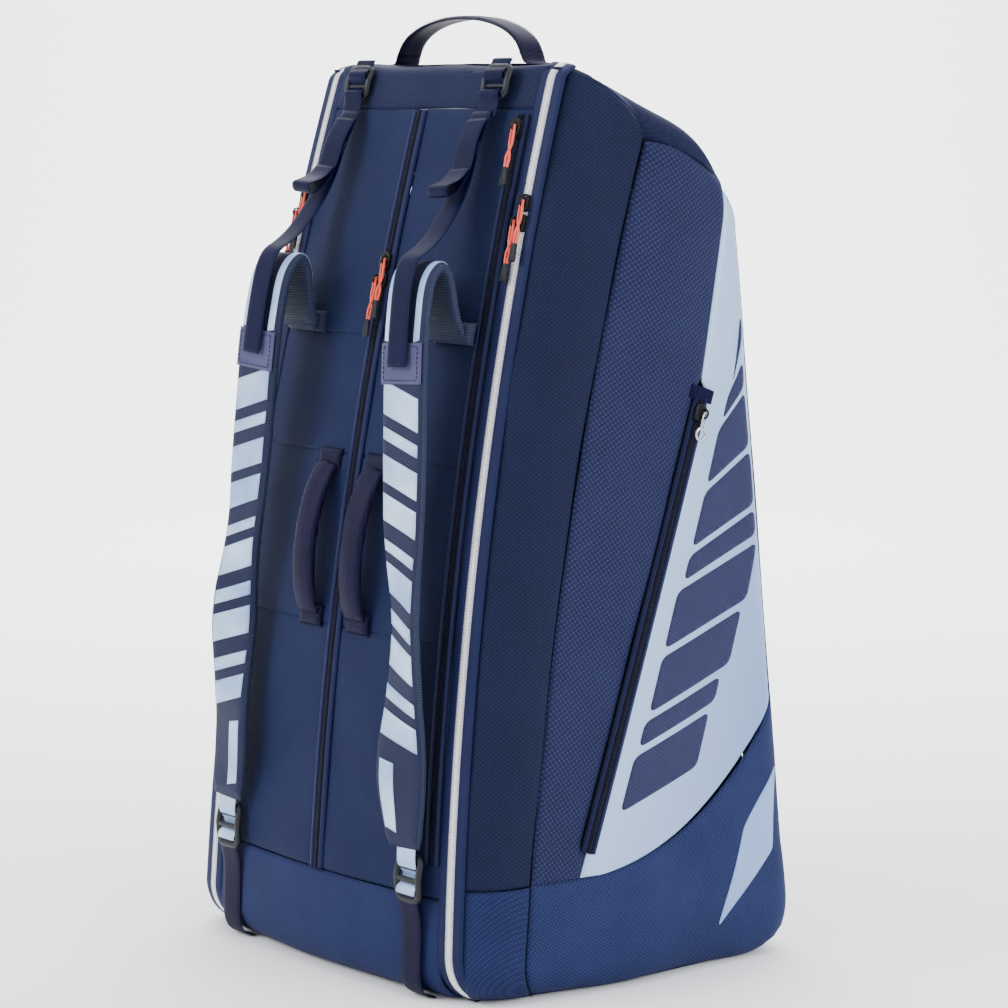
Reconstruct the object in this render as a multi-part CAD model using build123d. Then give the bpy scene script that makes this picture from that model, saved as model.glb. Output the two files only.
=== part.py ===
from build123d import *
import os
from math import sqrt

# Racket tournament bag standing on its base, three compartments stacked along X.
# Origin: middle of the bag's footprint box on the floor. +Z up, +X to the wearer's
# spine panel right, -Y out of the spine panel (the face with the shoulder straps).

# ---- driving dimensions, mm ----
SPINE_FOOT_Y = -177.8       # spine panel centre line at its foot
SPINE_RADIUS = 2870.0       # the spine panel is one long arc, seen from the side
SPINE_CENTRE_Z = -110.0     # height of that arc's centre
SPINE_CROWNING = 13.0       # the white zips sit this far behind the centre line
ZIP_HALF_WIDTH = 165.0      # centre line to white zip, at the foot
TAPER = 0.03                # the zips lean in by this much per mm of height
SEAM_HALF_WIDTH = 200.0     # centre line to the gusset seam, at the floor
SEAM_TAPER = 0.012
SIDE_BULGE = 18.0           # the side panels stand this far outside the seam
REAR_Y = SPINE_FOOT_Y + 362.0
REAR_LEAN = 0.103
CORNER_RADIUS = 30.0        # upright rear corners
FABRIC = 4.0                # padded fabric panel
LINING = 3.0
GAP = 0.5                   # between neighbouring panels
CROWN_RADIUS = 225.0        # top of the outer compartments, seen from the side
CROWN_CENTRE_Y = SPINE_FOOT_Y + 95.0
CROWN_TOP_Z = 756.0
CORE_CROWN_RADIUS = 222.0   # top of the middle compartment
CORE_CROWN_CENTRE_Y = SPINE_FOOT_Y + 105.0
CORE_TOP_Z = 758.0
CROWN_END_Z = 649.0         # the top panels end here at the back

# seams across the spine panel, heights
BASE_SEAM_Z = 85.0
HANDLE_FOOT_Z = 289.0
HANDLE_HEAD_Z = 430.0
STRAP_SEAM_Z = 529.0
YOKE_SEAM_Z = 716.0
SPINE_TOP_Z = 743.0
CAP_SEAM_Z = 692.0          # where the gusset, side panel and top panel meet

# pocket zip on the side panels, from its foot to its head, (y, z)
POCKET_FOOT = (SPINE_FOOT_Y + 123.0, 120.0)
POCKET_HEAD = (SPINE_FOOT_Y + 240.0, 482.0)
POCKET_TOP = (SPINE_FOOT_Y + 272.0, 650.0)

# zip hardware
COIL = 7.0                  # half of a zip's tape
SLIDER_WIDTH = 13.0
SLIDER_LENGTH = 15.0
SLIDER_THICK = 5.5
PIN_HEIGHT = 8.0            # the pull's pin above the zip
PIN_RADIUS = 0.9

# shoulder straps
STRAP_X = 99.0              # strap centre at the strap seam
STRAP_LEAN = 0.062          # outwards, per mm down
PAD_WIDTH = 52.0
PAD_THICK = 10.0
WEBBING_WIDTH = 25.0
WEBBING_THICK = 2.5

FOOT_STATIONS = [18.0, 30.0, 60.0]   # heights of the rings at the foot of the outer compartments
BAIL_OFFSET = 3.3           # the bail stands this far to one side of the slider
TIP_THICK = 3.4             # moulded end of a cord pull


# ---- the bag's surface ----
def arc_drop(distance, radius):
    """How far a circle has fallen away at a distance from its crest."""
    return radius - sqrt(max(radius ** 2 - distance ** 2, 0.0))


SPINE_ORIGIN_Y = SPINE_FOOT_Y - arc_drop(27.0 - SPINE_CENTRE_Z, SPINE_RADIUS)


def spine_y(z):
    return SPINE_ORIGIN_Y + arc_drop(z - SPINE_CENTRE_Z, SPINE_RADIUS)


def zip_x(z):
    return ZIP_HALF_WIDTH - TAPER * (z - 27.0)


def spine_front(x, z):
    """Front face of the spine panel at any width."""
    return spine_y(z) + SPINE_CROWNING * (abs(x) / zip_x(z)) ** 2.2


def seam_x(z):
    return SEAM_HALF_WIDTH - SEAM_TAPER * z


def seam_y(z):
    return spine_y(z) + 64.0 + 0.028 * z + arc_drop(max(30.0 - z, 0.0), 30.0)


def rear_y(z):
    leaning = REAR_Y - REAR_LEAN * z - arc_drop(max(48.0 - z, 0.0), 48.0)
    above_centre = z - CROWN_TOP_Z + CROWN_RADIUS
    if above_centre < 0.0:
        return leaning
    return min(leaning, CROWN_CENTRE_Y + sqrt(CROWN_RADIUS ** 2 - above_centre ** 2))


def side_x(y, z):
    """Outer face of a side panel, between the gusset seam and the rear corner."""
    across = (y - seam_y(z)) / (rear_y(z) - seam_y(z))
    bulge = SIDE_BULGE * (1.0 - (1.0 - min(across / 0.6, 1.0)) ** 2)
    corner = arc_drop(max(y - rear_y(z) + CORNER_RADIUS, 0.0), CORNER_RADIUS)
    return seam_x(z) + bulge - corner - arc_drop(max(25.0 - z, 0.0), 25.0)


def crown_z(y):
    return CROWN_TOP_Z - arc_drop(y - CROWN_CENTRE_Y, CROWN_RADIUS)


def core_crown_z(y):
    return CORE_TOP_Z - arc_drop(y - CORE_CROWN_CENTRE_Y, CORE_CROWN_RADIUS)


def cap_seam_y(z):
    """Seam between the side panel and the top panel of an outer compartment."""
    fall = (CAP_SEAM_Z - z) / (CAP_SEAM_Z - CROWN_END_Z)
    return seam_y(CAP_SEAM_Z) + (rear_y(CROWN_END_Z) - seam_y(CAP_SEAM_Z)) * max(fall, 0.0) ** 0.75


def cap_seam_z(y):
    along = (y - seam_y(CAP_SEAM_Z)) / (rear_y(CROWN_END_Z) - seam_y(CAP_SEAM_Z))
    return CAP_SEAM_Z - (CAP_SEAM_Z - CROWN_END_Z) * min(max(along, 0.0), 1.0) ** (1.0 / 0.75)


def boot_seam_y(z):
    """Seam that rises to the back between the pocket panel and the boot panel."""
    rise = (z - 95.0) / 139.0
    return SPINE_FOOT_Y + 103.0 + 235.0 * min(max(rise, 0.0), 1.0) ** 0.45


def pocket_y(z):
    """Front edge of the pocket panel."""
    low, high = (POCKET_FOOT, POCKET_HEAD) if z < POCKET_HEAD[1] else (POCKET_HEAD, POCKET_TOP)
    return low[0] + (high[0] - low[0]) * (z - low[1]) / (high[1] - low[1])


# top handle
HANDLE_Y = SPINE_FOOT_Y + 170.0
HANDLE_Z = core_crown_z(HANDLE_Y) + 3.6
HANDLE_HALF_WIDTH = 82.0
HANDLE_RISE = 38.0


# ---- solids ----
def spread(start, end, count):
    return [start + (end - start) * step / (count - 1) for step in range(count)]


def unit(point):
    length = sqrt(sum(value ** 2 for value in point))
    return tuple(value / length for value in point)


def inset(outline, depth):
    """The same open outline moved to its left by depth, point by point."""
    moved = []
    for index, (a, b) in enumerate(outline):
        before = outline[max(index - 1, 0)]
        after = outline[min(index + 1, len(outline) - 1)]
        da, db = unit((after[0] - before[0], after[1] - before[1]))
        moved.append((a - db * depth, b + da * depth))
    return moved


def skin(outline_at, stations, depth, place):
    """Sheet of fabric: an outline at each station, thickened and joined to the next."""
    rings = []
    for station in stations:
        outline = outline_at(station)
        ring = outline + inset(outline, depth)[::-1]
        rings.append(Polyline(*[place(a, b, station) for a, b in ring], close=True))
    return Solid.make_loft([Wire(ring.edges()) for ring in rings], ruled=True)


def upright(a, b, station):
    return (a, b, station)


def lengthways(a, b, station):
    return (station, a, b)


def strip(outline, x_start, x_end, depth, lean=0.0, lean_from=0.0):
    """Strip of fabric or webbing: a side-view outline carried across X."""
    def place(a, b, station):
        return (station + lean * (lean_from - b), a, b)
    return skin(lambda station: outline, [x_start, x_end], depth, place)


def mirrored(solid):
    return solid.mirror(Plane.YZ)


def write(node, *solids):
    shape = solids[0] if len(solids) == 1 else Compound(children=list(solids))
    export_step(shape, os.path.join("parts", node + ".step"))
    ALL_SOLIDS.extend(solids)


def write_pair(name, solid):
    """A right-hand piece and its mirror image."""
    write("right_" + name, solid)
    write("left_" + name, mirrored(solid))


# ---- middle compartment ----
def spine_panel(side):
    def outline(z):
        inner = 5.0 + GAP
        outer = zip_x(z) - COIL - 1.0
        points = [(side * x, spine_front(x, z)) for x in spread(inner, outer, 7)]
        return points if side > 0 else points[::-1]
    return skin(outline, spread(BASE_SEAM_Z + GAP, YOKE_SEAM_Z - GAP, 8), FABRIC, upright)


def yoke_panel():
    def outline(z):
        reach = zip_x(z) - COIL - 1.0
        return [(x, spine_front(x, z)) for x in spread(-reach, reach, 13)]
    return skin(outline, [YOKE_SEAM_Z + GAP, SPINE_TOP_Z], FABRIC, upright)


def core_crown():
    front = spine_y(SPINE_TOP_Z) + 7.0
    back = REAR_Y - REAR_LEAN * CROWN_END_Z
    outline = [(front, SPINE_TOP_Z + 5.0)]
    outline += [(y, core_crown_z(y)) for y in spread(front + 8.0, back, 9)]
    reach = zip_x(SPINE_TOP_Z) - 1.0
    return strip(outline, -reach, reach, -FABRIC)


def spine_boot():
    """Foot of the spine panel, wrapped under the front edge."""
    def outline(x):
        crowning = spine_front(x, 27.0) - spine_y(27.0)
        points = [(spine_front(x, z), z) for z in (BASE_SEAM_Z - GAP, 55.0, 26.0)]
        points += [(SPINE_FOOT_Y + crowning + 5.0, 10.0), (SPINE_FOOT_Y + crowning + 13.0, 2.5)]
        return points + [(SPINE_FOOT_Y + crowning + 24.0, 0.0), (SPINE_FOOT_Y + 48.0, 0.0)]
    reach = zip_x(60.0) - COIL - 2.0
    return skin(outline, spread(-reach, reach, 9), FABRIC, lengthways)


def base_panel():
    outline = [(SPINE_FOOT_Y + 49.0, 0.0), (REAR_Y - 48.0, 0.0), (REAR_Y - 30.0, 4.0)]
    outline += [(REAR_Y - 14.0, 14.0), (REAR_Y - 5.0, 30.0), (REAR_Y - 3.4, 49.0)]
    return strip(outline, -(zip_x(0.0) - 1.5), zip_x(0.0) - 1.5, FABRIC)


def rear_panel():
    def outline(z):
        reach = zip_x(z) - 1.0
        back = REAR_Y - REAR_LEAN * z
        return [(x, back + 3.0 - 3.0 * (x / reach) ** 2) for x in spread(reach, -reach, 7)]
    return skin(outline, spread(50.0, CROWN_END_Z - 5.0, 6), FABRIC, upright)


def divider_wall():
    """Padded wall between the middle and an outer compartment."""
    def outline(z):
        x = zip_x(z) - COIL - 4.0
        return [(x, spine_y(z) + SPINE_CROWNING + 12.0), (x, min(rear_y(z), rear_y(620.0)) - 9.0)]
    return skin(outline, spread(14.0, CROWN_END_Z - 8.0, 7), LINING, upright)


def white_tape(inner, outer):
    """One half of a white zip with its coil, between two offsets from the zip line."""
    def outline(z):
        setback = spine_y(z) + SPINE_CROWNING + arc_drop(max(40.0 - z, 0.0), 40.0)
        return [(zip_x(z) + offset, setback) for offset in (inner, outer)]
    return skin(outline, spread(14.0, SPINE_TOP_Z, 12), 2.5, upright)


def flat_zip(start_z, end_z, centre, half_width, stand_off):
    """Dark zip lying along the spine panel, x given by centre(z)."""
    def outline(z):
        return [(centre(z) + x, spine_front(centre(z), z) - stand_off) for x in (-half_width, half_width)]
    return skin(outline, spread(start_z, end_z, 9), 1.5, upright)


def spine_pocket_x(z):
    return zip_x(z) - 21.0


# ---- outer compartment, right-hand side ----
def gusset_point(z, along):
    """Padded gusset, from the white zip at 0 to the side seam at 1."""
    start = zip_x(z) + COIL + 2.5
    front = spine_y(z) + SPINE_CROWNING + 2.0
    x = start + (seam_x(z) - start) * (1.0 - (1.0 - along) ** 1.9)
    y = front + (seam_y(z) - front) * along ** 1.35
    return (x - arc_drop(max(24.0 - z, 0.0), 24.0), y)


def gusset():
    def outline(z):
        reach = 1.0 - 0.8 * max(z - CAP_SEAM_Z, 0.0) / (SPINE_TOP_Z - CAP_SEAM_Z)
        return [gusset_point(z, reach * step) for step in spread(0.0, 1.0, 7)]
    return skin(outline, FOOT_STATIONS + spread(98.0, CAP_SEAM_Z, 8) + [SPINE_TOP_Z], FABRIC, upright)


def side_sheet(front_edge, back_edge, stations):
    """Sheet of the side wall between two edges given as y of z."""
    def outline(z):
        ends = (front_edge(z) + GAP, back_edge(z) - GAP)
        return [(side_x(y, z), y) for y in spread(*ends, 8)]
    return skin(outline, stations, FABRIC, upright)


def side_panel():
    def back(z):
        return min(pocket_y(z) - COIL, cap_seam_y(z))
    return side_sheet(seam_y, back, spread(98.0, POCKET_HEAD[1], 7) + spread(520.0, 688.0, 6))


def wall_end(z):
    return rear_y(z) - 12.0


def pocket_panel():
    def front(z):
        return pocket_y(z) + COIL
    def back(z):
        return min(wall_end(z), boot_seam_y(z), cap_seam_y(z) if z > CROWN_END_Z else REAR_Y)
    return side_sheet(front, back, [108.0, 125.0, 150.0, 190.0] + spread(236.0, CROWN_END_Z - 1.0, 7))


def boot_panel():
    def front(z):
        return boot_seam_y(z) + 1.5 if z > 95.0 else seam_y(z) + 1.5
    return side_sheet(front, wall_end, FOOT_STATIONS + [94.0, 97.0, 108.0, 125.0, 150.0, 178.0, 200.0])


def shell_rear():
    def outline(z):
        end = wall_end(z) + 4.4
        corner = side_x(end, z)
        middle = (corner + zip_x(z)) / 2.0 + 8.0
        return [(corner, end), (middle, rear_y(z) - 1.5), (zip_x(z) + 1.0, rear_y(z))]
    return skin(outline, FOOT_STATIONS + spread(98.0, CROWN_END_Z - 1.0, 5), FABRIC, upright)


def shell_base():
    """Floor of the outer compartment, following the gusset at its front."""
    start = zip_x(0.0) + 1.5
    def outline(x):
        across = min((x - start) / (seam_x(0.0) - start), 1.0)
        lift = arc_drop(max(x - 192.0, 0.0), 24.0)
        front = SPINE_FOOT_Y + 26.0 + 50.0 * (1.0 - (1.0 - across) ** 0.6)
        back = REAR_Y - 34.0 - lift
        return [(front, 12.0), (front + 18.0, 1.0 + lift), (back - 20.0, 1.0 + lift), (back, 9.0 + lift)]
    return skin(outline, [start, 180.0, 192.0, 200.0, 205.0], FABRIC, lengthways)


def cap_panel():
    """Top panel of the outer compartment, down to the side and rear seams."""
    start = zip_x(SPINE_TOP_Z) + 1.0
    end = seam_x(CAP_SEAM_Z)
    def outline(x):
        out = (x - start) / (end - start)
        front = spine_y(SPINE_TOP_Z) + 10.0 + (seam_y(CAP_SEAM_Z) - spine_y(SPINE_TOP_Z) - 10.0) * out
        back = rear_y(CROWN_END_Z) - 2.0
        fall = arc_drop(out, 1.0)
        return [(y, crown_z(y) * (1.0 - fall) + (cap_seam_z(y) + 1.5) * fall) for y in spread(front, back, 9)]
    return skin(outline, [start, 160.0, 173.0, 182.0, 188.0, end], -FABRIC, lengthways)


# ---- placing hardware ----
def on_spine(centre_x, z, lean):
    """Plane on the spine panel: local X across, local Y up the zip, local Z outwards."""
    slope = (z - SPINE_CENTRE_Z) / SPINE_RADIUS
    outwards = Vector(0.0, -sqrt(1.0 - slope ** 2), slope)
    across = Vector(1.0, 0.0, lean).cross(outwards).cross(outwards) * -1.0
    return Plane(origin=(centre_x, spine_front(abs(centre_x), z), z), x_dir=across, z_dir=outwards)


def on_pocket(z):
    """Plane on the right pocket zip, local Y up the zip, local Z outwards."""
    head = Vector(side_x(*POCKET_HEAD), *POCKET_HEAD)
    foot = Vector(side_x(*POCKET_FOOT), *POCKET_FOOT)
    up = (head - foot).normalized()
    origin = foot + (head - foot) * ((z - foot.Z) / (head.Z - foot.Z))
    across_side = Vector(1.0, 0.0, 0.0)
    outwards = (across_side - up * across_side.dot(up)).normalized()
    return Plane(origin=tuple(origin), x_dir=tuple(up.cross(outwards)), z_dir=tuple(outwards))


def slider(side):
    """Zip slider lying on the coil, with its bail to one side."""
    body = Pos(0, 0, 0.6 + SLIDER_THICK / 2) * Box(SLIDER_WIDTH, SLIDER_LENGTH, SLIDER_THICK)
    body = fillet(body.edges().filter_by(Axis.Z), 3.0)
    bail = Pos(side * BAIL_OFFSET, 0, SLIDER_THICK + 2.0) * Box(2.2, 6.0, 7.2)
    hole = Pos(side * BAIL_OFFSET, 0, PIN_HEIGHT) * Rot(0, 90, 0) * Cylinder(PIN_RADIUS + 0.5, 6.0)
    return (body + bail - hole).solid()


def cord_pull(side, length, tip_length):
    """Cord loop through the bail, gathered into a moulded tip."""
    pin = Pos(side * BAIL_OFFSET, 0, PIN_HEIGHT) * Rot(0, 90, 0) * Cylinder(PIN_RADIUS, 5.6)
    legs = [Pos(side * BAIL_OFFSET + x, -length / 2, PIN_HEIGHT) * Box(1.4, length + 1.6, 1.6) for x in (-2.1, 2.1)]
    tip = Pos(side * BAIL_OFFSET, -length - tip_length / 2, PIN_HEIGHT) * Box(5.2, tip_length, TIP_THICK)
    return (pin + legs[0] + legs[1] + tip).solid()


def ring_pull(length):
    """Flat metal ring hanging from the bail."""
    pin = Pos(BAIL_OFFSET, 0, PIN_HEIGHT) * Rot(0, 90, 0) * Cylinder(PIN_RADIUS, 5.6)
    legs = [Pos(BAIL_OFFSET + x, -length / 2, PIN_HEIGHT) * Box(1.4, length + 1.6, 1.6) for x in (-2.1, 2.1)]
    ring = Pos(BAIL_OFFSET, -length - 5.0, PIN_HEIGHT) * (Cylinder(6.5, 1.8) - Cylinder(3.4, 4.0))
    return (pin + legs[0] + legs[1] + ring).solid()


def ladder_lock(width, height, thick):
    """Moulded webbing adjuster with two slots."""
    plate = Pos(0, 0, thick / 2) * Box(width, height, thick)
    plate = fillet(plate.edges().filter_by(Axis.Z), 3.0)
    for slot_y in (-height * 0.24, height * 0.22):
        plate -= Pos(0, slot_y, thick / 2) * Box(width - 9.0, height * 0.2, thick * 3)
    return plate.solid()


def zip_hardware():
    """Name, plane, bail side and pull of every slider."""
    white_upper, white_lower = 641.0, 625.0
    rows = []
    for name, side in (("right", 1.0), ("left", -1.0)):
        for end, z, bail in (("upper", white_upper, 1.0), ("lower", white_lower, -1.0)):
            rows.append((f"{name}_zip_{end}", on_spine(side * zip_x(z), z, side * TAPER), bail, "cord"))
    for end, z, bail in (("upper", 590.0, 1.0), ("lower", 574.0, -1.0)):
        rows.append((f"centre_zip_{end}", on_spine(0.0, z, 0.0), bail, "cord"))
    pocket = on_spine(spine_pocket_x(700.0), 700.0, TAPER).offset(2.6)
    rows.append(("spine_pocket_zip", pocket, 1.0, "cord"))
    rows.append(("right_pocket_zip", on_pocket(470.0), 1.0, "ring"))
    return rows


# ---- shoulder straps, right-hand one ----
def pad_front():
    """Front face of the strap pad as (stand-off from the spine panel, height)."""
    return [(18.0, 552.0), (30.0, 586.0), (42.0, 598.0), (54.0, 592.0), (59.0, 572.0),
            (54.0, 516.0), (42.0, 430.0), (34.0, 350.0), (28.0, 270.0), (24.0, 205.0), (18.0, 126.0)]


def strap_outline(rows):
    return [(spine_front(STRAP_X + STRAP_LEAN * (STRAP_SEAM_Z - z), z) - stand_off, z) for stand_off, z in rows]


def strap_piece(rows, width, depth):
    outline = strap_outline(rows)
    return strip(outline, STRAP_X - width / 2, STRAP_X + width / 2, depth, STRAP_LEAN, STRAP_SEAM_Z)


def strap_webbing():
    """Webbing from under the top adjuster, over the pad's arch and down its front."""
    rows = [(9.0, 714.0), (15.0, 690.0), (18.0, 650.0), (34.0, 618.0)]
    rows += [(47.0, 603.5), (58.5, 596.0), (64.0, 573.0), (58.5, 512.0)]
    return strap_piece(rows, WEBBING_WIDTH, WEBBING_THICK)


def strap_lock():
    z = 100.0
    x = STRAP_X + STRAP_LEAN * (STRAP_SEAM_Z - z)
    return on_spine(x, z, 0.0).offset(6.0) * ladder_lock(34.0, 40.0, 5.0)


def anchor_tabs():
    """Sewn ends of the carry handles and of the strap pads, fixed to the spine panel."""
    tabs = []
    for side in (1.0, -1.0):
        for z in (HANDLE_FOOT_Z + 6.0, HANDLE_HEAD_Z - 6.0):
            tabs.append(on_spine(side * 32.0, z, 0.0).offset(1.0) * (Pos(0, 0, 2.5) * Box(30.0, 14.0, 5.0)))
        root = on_spine(side * STRAP_X, STRAP_SEAM_Z + 7.0, 0.0).offset(3.4)
        tabs.append(root * (Pos(0, 0, 3.5) * Box(PAD_WIDTH, 18.0, 7.0)))
    return [tab.solid() for tab in tabs]


def carry_handle():
    """Padded carry handle arching off the spine panel between its sewn ends."""
    middle = (HANDLE_FOOT_Z + HANDLE_HEAD_Z) / 2
    reach = (HANDLE_HEAD_Z - HANDLE_FOOT_Z) / 2 - 15.0
    rows = [(25.0 - 12.0 * (step / 4.0) ** 2, middle - reach * step / 4.0) for step in range(-4, 5)]
    outline = [(spine_front(32.0, z) - stand_off, z) for stand_off, z in rows]
    return strip(outline, 17.0, 47.0, 6.0)


def handle_arch(half_width, rise, rise_from, rise_to, depth):
    """Webbing arch over the top, between two heights above its feet line."""
    y = HANDLE_Y
    reach = [half_width * sqrt(1.0 - (height / rise) ** 2.4) for height in (rise_from, rise_to)]
    xs = spread(-reach[0], reach[0], 15)
    outline = [(x, HANDLE_Z + rise * (1.0 - (abs(x) / half_width) ** 2.0) ** (1.0 / 2.4)) for x in xs]
    def place(a, b, station):
        return (a, station, b)
    return skin(lambda station: outline, [y - depth / 2, y + depth / 2], -3.0, place)


def handle_band():
    """Webbing band across the top that carries the handle's feet."""
    reach = zip_x(SPINE_TOP_Z) - 3.0
    band = Pos(0, HANDLE_Y, core_crown_z(HANDLE_Y) + 2.2) * Rot(-14.0, 0, 0) * Box(2 * reach, 30.0, 2.4)
    return band.solid()


ALL_SOLIDS = []


def main():
    os.makedirs("parts", exist_ok=True)

    write("right_spine_panel", spine_panel(1.0))
    write("left_spine_panel", spine_panel(-1.0))
    write("top_yoke_panel", yoke_panel())
    write("middle_top_panel", core_crown())
    write("spine_boot_panel", spine_boot())
    write("base_panel", base_panel())
    write("rear_panel", rear_panel())
    write("divider_walls", divider_wall(), mirrored(divider_wall()))
    inner_tape = white_tape(-COIL - 0.5, -0.5)
    write("white_zip_inner_tapes", inner_tape, mirrored(inner_tape))
    write("centre_zip", flat_zip(BASE_SEAM_Z + 1.0, YOKE_SEAM_Z - 1.0, lambda z: 0.0, 4.8, 0.0))
    write("spine_pocket_zip", flat_zip(545.0, 712.0, spine_pocket_x, 4.5, 2.6))

    write_pair("gusset", gusset())
    write_pair("side_panel", side_panel())
    write_pair("pocket_panel", pocket_panel())
    write_pair("boot_panel", boot_panel())
    write_pair("shell_rear_panel", shell_rear())
    write_pair("shell_base_panel", shell_base())
    write_pair("cap_panel", cap_panel())
    write_pair("white_zip_outer_tape", white_tape(0.5, COIL + 0.5))
    pocket_zip = on_pocket((POCKET_FOOT[1] + POCKET_HEAD[1]) / 2)
    length = sqrt((POCKET_HEAD[0] - POCKET_FOOT[0]) ** 2 + (POCKET_HEAD[1] - POCKET_FOOT[1]) ** 2)
    write_pair("pocket_zip_tape", (pocket_zip.offset(-0.8) * Box(9.0, length, 1.6)).solid())

    hardware = zip_hardware()
    for name, plane, bail, kind in hardware:
        body = (plane * slider(bail)).solid()
        pull = (plane * (ring_pull(12.0) if kind == "ring" else cord_pull(bail, 34.0, 15.0))).solid()
        write(name + "_slider", body)
        write(name + "_pull", pull)
        if name == "right_pocket_zip":
            write("left_pocket_zip_slider", mirrored(body))
            write("left_pocket_zip_pull", mirrored(pull))

    upper_lock = on_spine(92.0, 737.0, 0.0).offset(3.0) * ladder_lock(34.0, 30.0, 5.0)
    write("upper_ladder_locks", upper_lock.solid(), mirrored(upper_lock.solid()))
    low_x = STRAP_X + STRAP_LEAN * (STRAP_SEAM_Z - 50.0)
    anchor = on_spine(low_x, 50.0, 0.0).offset(1.5) * (Pos(0, 0, 1.25) * Box(WEBBING_WIDTH, 50.0, 2.5))
    write("lower_webbing_anchors", anchor.solid(), mirrored(anchor.solid()))
    write("anchor_tabs", *anchor_tabs())
    write("handle_band", handle_band())
    write("top_handle", handle_arch(HANDLE_HALF_WIDTH, HANDLE_RISE, 11.0, HANDLE_RISE, 26.0))
    write_pair("carry_handle", carry_handle())
    write_pair("strap_pad", strap_piece(pad_front(), PAD_WIDTH, PAD_THICK))
    write_pair("strap_webbing", strap_webbing())
    write_pair("strap_ladder_lock", strap_lock().solid())

    box = Compound(children=ALL_SOLIDS).bounding_box()
    print("box", box.min, box.max, "nodes", len(os.listdir("parts")))
    for name, plane, bail, kind in hardware:
        pin = plane.from_local_coords(Vector(bail * BAIL_OFFSET, 0.0, PIN_HEIGHT))
        print(name, "slider", plane.origin, "pin", pin, "across", plane.x_dir, "up", plane.y_dir)


main()
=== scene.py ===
import math

import bmesh
import bpy
import numpy as np
from mathutils import Matrix, Vector


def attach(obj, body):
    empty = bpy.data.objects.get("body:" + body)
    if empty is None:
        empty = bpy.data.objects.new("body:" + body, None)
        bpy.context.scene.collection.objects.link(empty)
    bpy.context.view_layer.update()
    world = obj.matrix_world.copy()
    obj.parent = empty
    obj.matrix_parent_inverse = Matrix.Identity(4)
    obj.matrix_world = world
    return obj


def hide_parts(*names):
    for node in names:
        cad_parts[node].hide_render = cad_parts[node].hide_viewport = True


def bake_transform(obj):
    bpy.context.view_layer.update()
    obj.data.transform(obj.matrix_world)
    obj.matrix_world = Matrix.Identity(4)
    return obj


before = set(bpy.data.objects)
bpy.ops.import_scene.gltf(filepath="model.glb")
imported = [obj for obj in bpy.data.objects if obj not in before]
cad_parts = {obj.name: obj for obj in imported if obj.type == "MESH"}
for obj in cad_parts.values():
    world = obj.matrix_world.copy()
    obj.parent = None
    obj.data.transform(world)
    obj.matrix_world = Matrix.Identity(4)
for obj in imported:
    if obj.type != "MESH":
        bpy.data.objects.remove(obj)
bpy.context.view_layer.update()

# Lengths in this script are in mm until a mesh is made, and then in metres.
MM = 0.001

# ---- the bag's surface, as in the CAD part ----
FOOT_Y = -177.8
SPINE_RADIUS, SPINE_CENTRE_Z, CROWNING = 2870.0, -110.0, 13.0
REAR_Y = FOOT_Y + 362.0
CROWN_Y, CROWN_TOP, CROWN_R = FOOT_Y + 95.0, 756.0, 225.0
CORE_Y, CORE_TOP, CORE_R = FOOT_Y + 105.0, 758.0, 222.0
CROWN_END = 649.0
BASE_SEAM, HANDLE_FOOT, HANDLE_HEAD, STRAP_SEAM, YOKE_SEAM, SPINE_TOP = 85.0, 289.0, 430.0, 529.0, 716.0, 743.0
CAP_SEAM, BOOT_SEAM = 692.0, 96.0
POCKET_FOOT = (FOOT_Y + 123.0, 120.0)
POCKET_HEAD = (FOOT_Y + 240.0, 482.0)
POCKET_TOP = (FOOT_Y + 272.0, 650.0)
COIL = 7.0
PIN_HEIGHT, PIN_OFFSET = 8.0, 3.3
STRAP_X, STRAP_LEAN, PAD_WIDTH = 99.0, 0.062, 52.0
WALL_END = 12.0
REAR_LEAN, CORNER = 0.103, 30.0


def arc_drop(distance, radius):
    return radius - np.sqrt(np.maximum(radius ** 2 - np.square(distance), 0.0))


SPINE_ORIGIN_Y = FOOT_Y - arc_drop(27.0 - SPINE_CENTRE_Z, SPINE_RADIUS)


def spine_y(z):
    return SPINE_ORIGIN_Y + arc_drop(z - SPINE_CENTRE_Z, SPINE_RADIUS)


def zip_x(z):
    return 165.0 - 0.03 * (z - 27.0)


def spine_front(x, z):
    return spine_y(z) + CROWNING * (np.abs(x) / zip_x(z)) ** 2.2


def seam_x(z):
    return 200.0 - 0.012 * z


def seam_y(z):
    return spine_y(z) + 64.0 + 0.028 * z + arc_drop(np.maximum(30.0 - z, 0.0), 30.0)


def rear_y(z):
    leaning = REAR_Y - REAR_LEAN * z - arc_drop(np.maximum(48.0 - z, 0.0), 48.0)
    above = z - CROWN_TOP + CROWN_R
    crown = CROWN_Y + np.sqrt(np.maximum(CROWN_R ** 2 - above ** 2, 0.0))
    return np.where(above < 0.0, leaning, np.minimum(leaning, crown))


def side_x(y, z):
    across = (y - seam_y(z)) / (rear_y(z) - seam_y(z))
    bulge = 18.0 * (1.0 - (1.0 - np.clip(across / 0.6, 0.0, 1.0)) ** 2)
    corner = arc_drop(np.clip(y - rear_y(z) + CORNER, 0.0, CORNER), CORNER)
    return seam_x(z) + bulge - corner - arc_drop(np.maximum(25.0 - z, 0.0), 25.0)


def crown_z(y):
    return CROWN_TOP - arc_drop(y - CROWN_Y, CROWN_R)


def core_crown_z(y):
    return CORE_TOP - arc_drop(y - CORE_Y, CORE_R)


def cap_seam_z(y):
    along = np.clip((y - seam_y(CAP_SEAM)) / (rear_y(CROWN_END) - seam_y(CAP_SEAM)), 0.0, 1.0)
    return CAP_SEAM - (CAP_SEAM - CROWN_END) * along ** (1.0 / 0.75)


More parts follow.
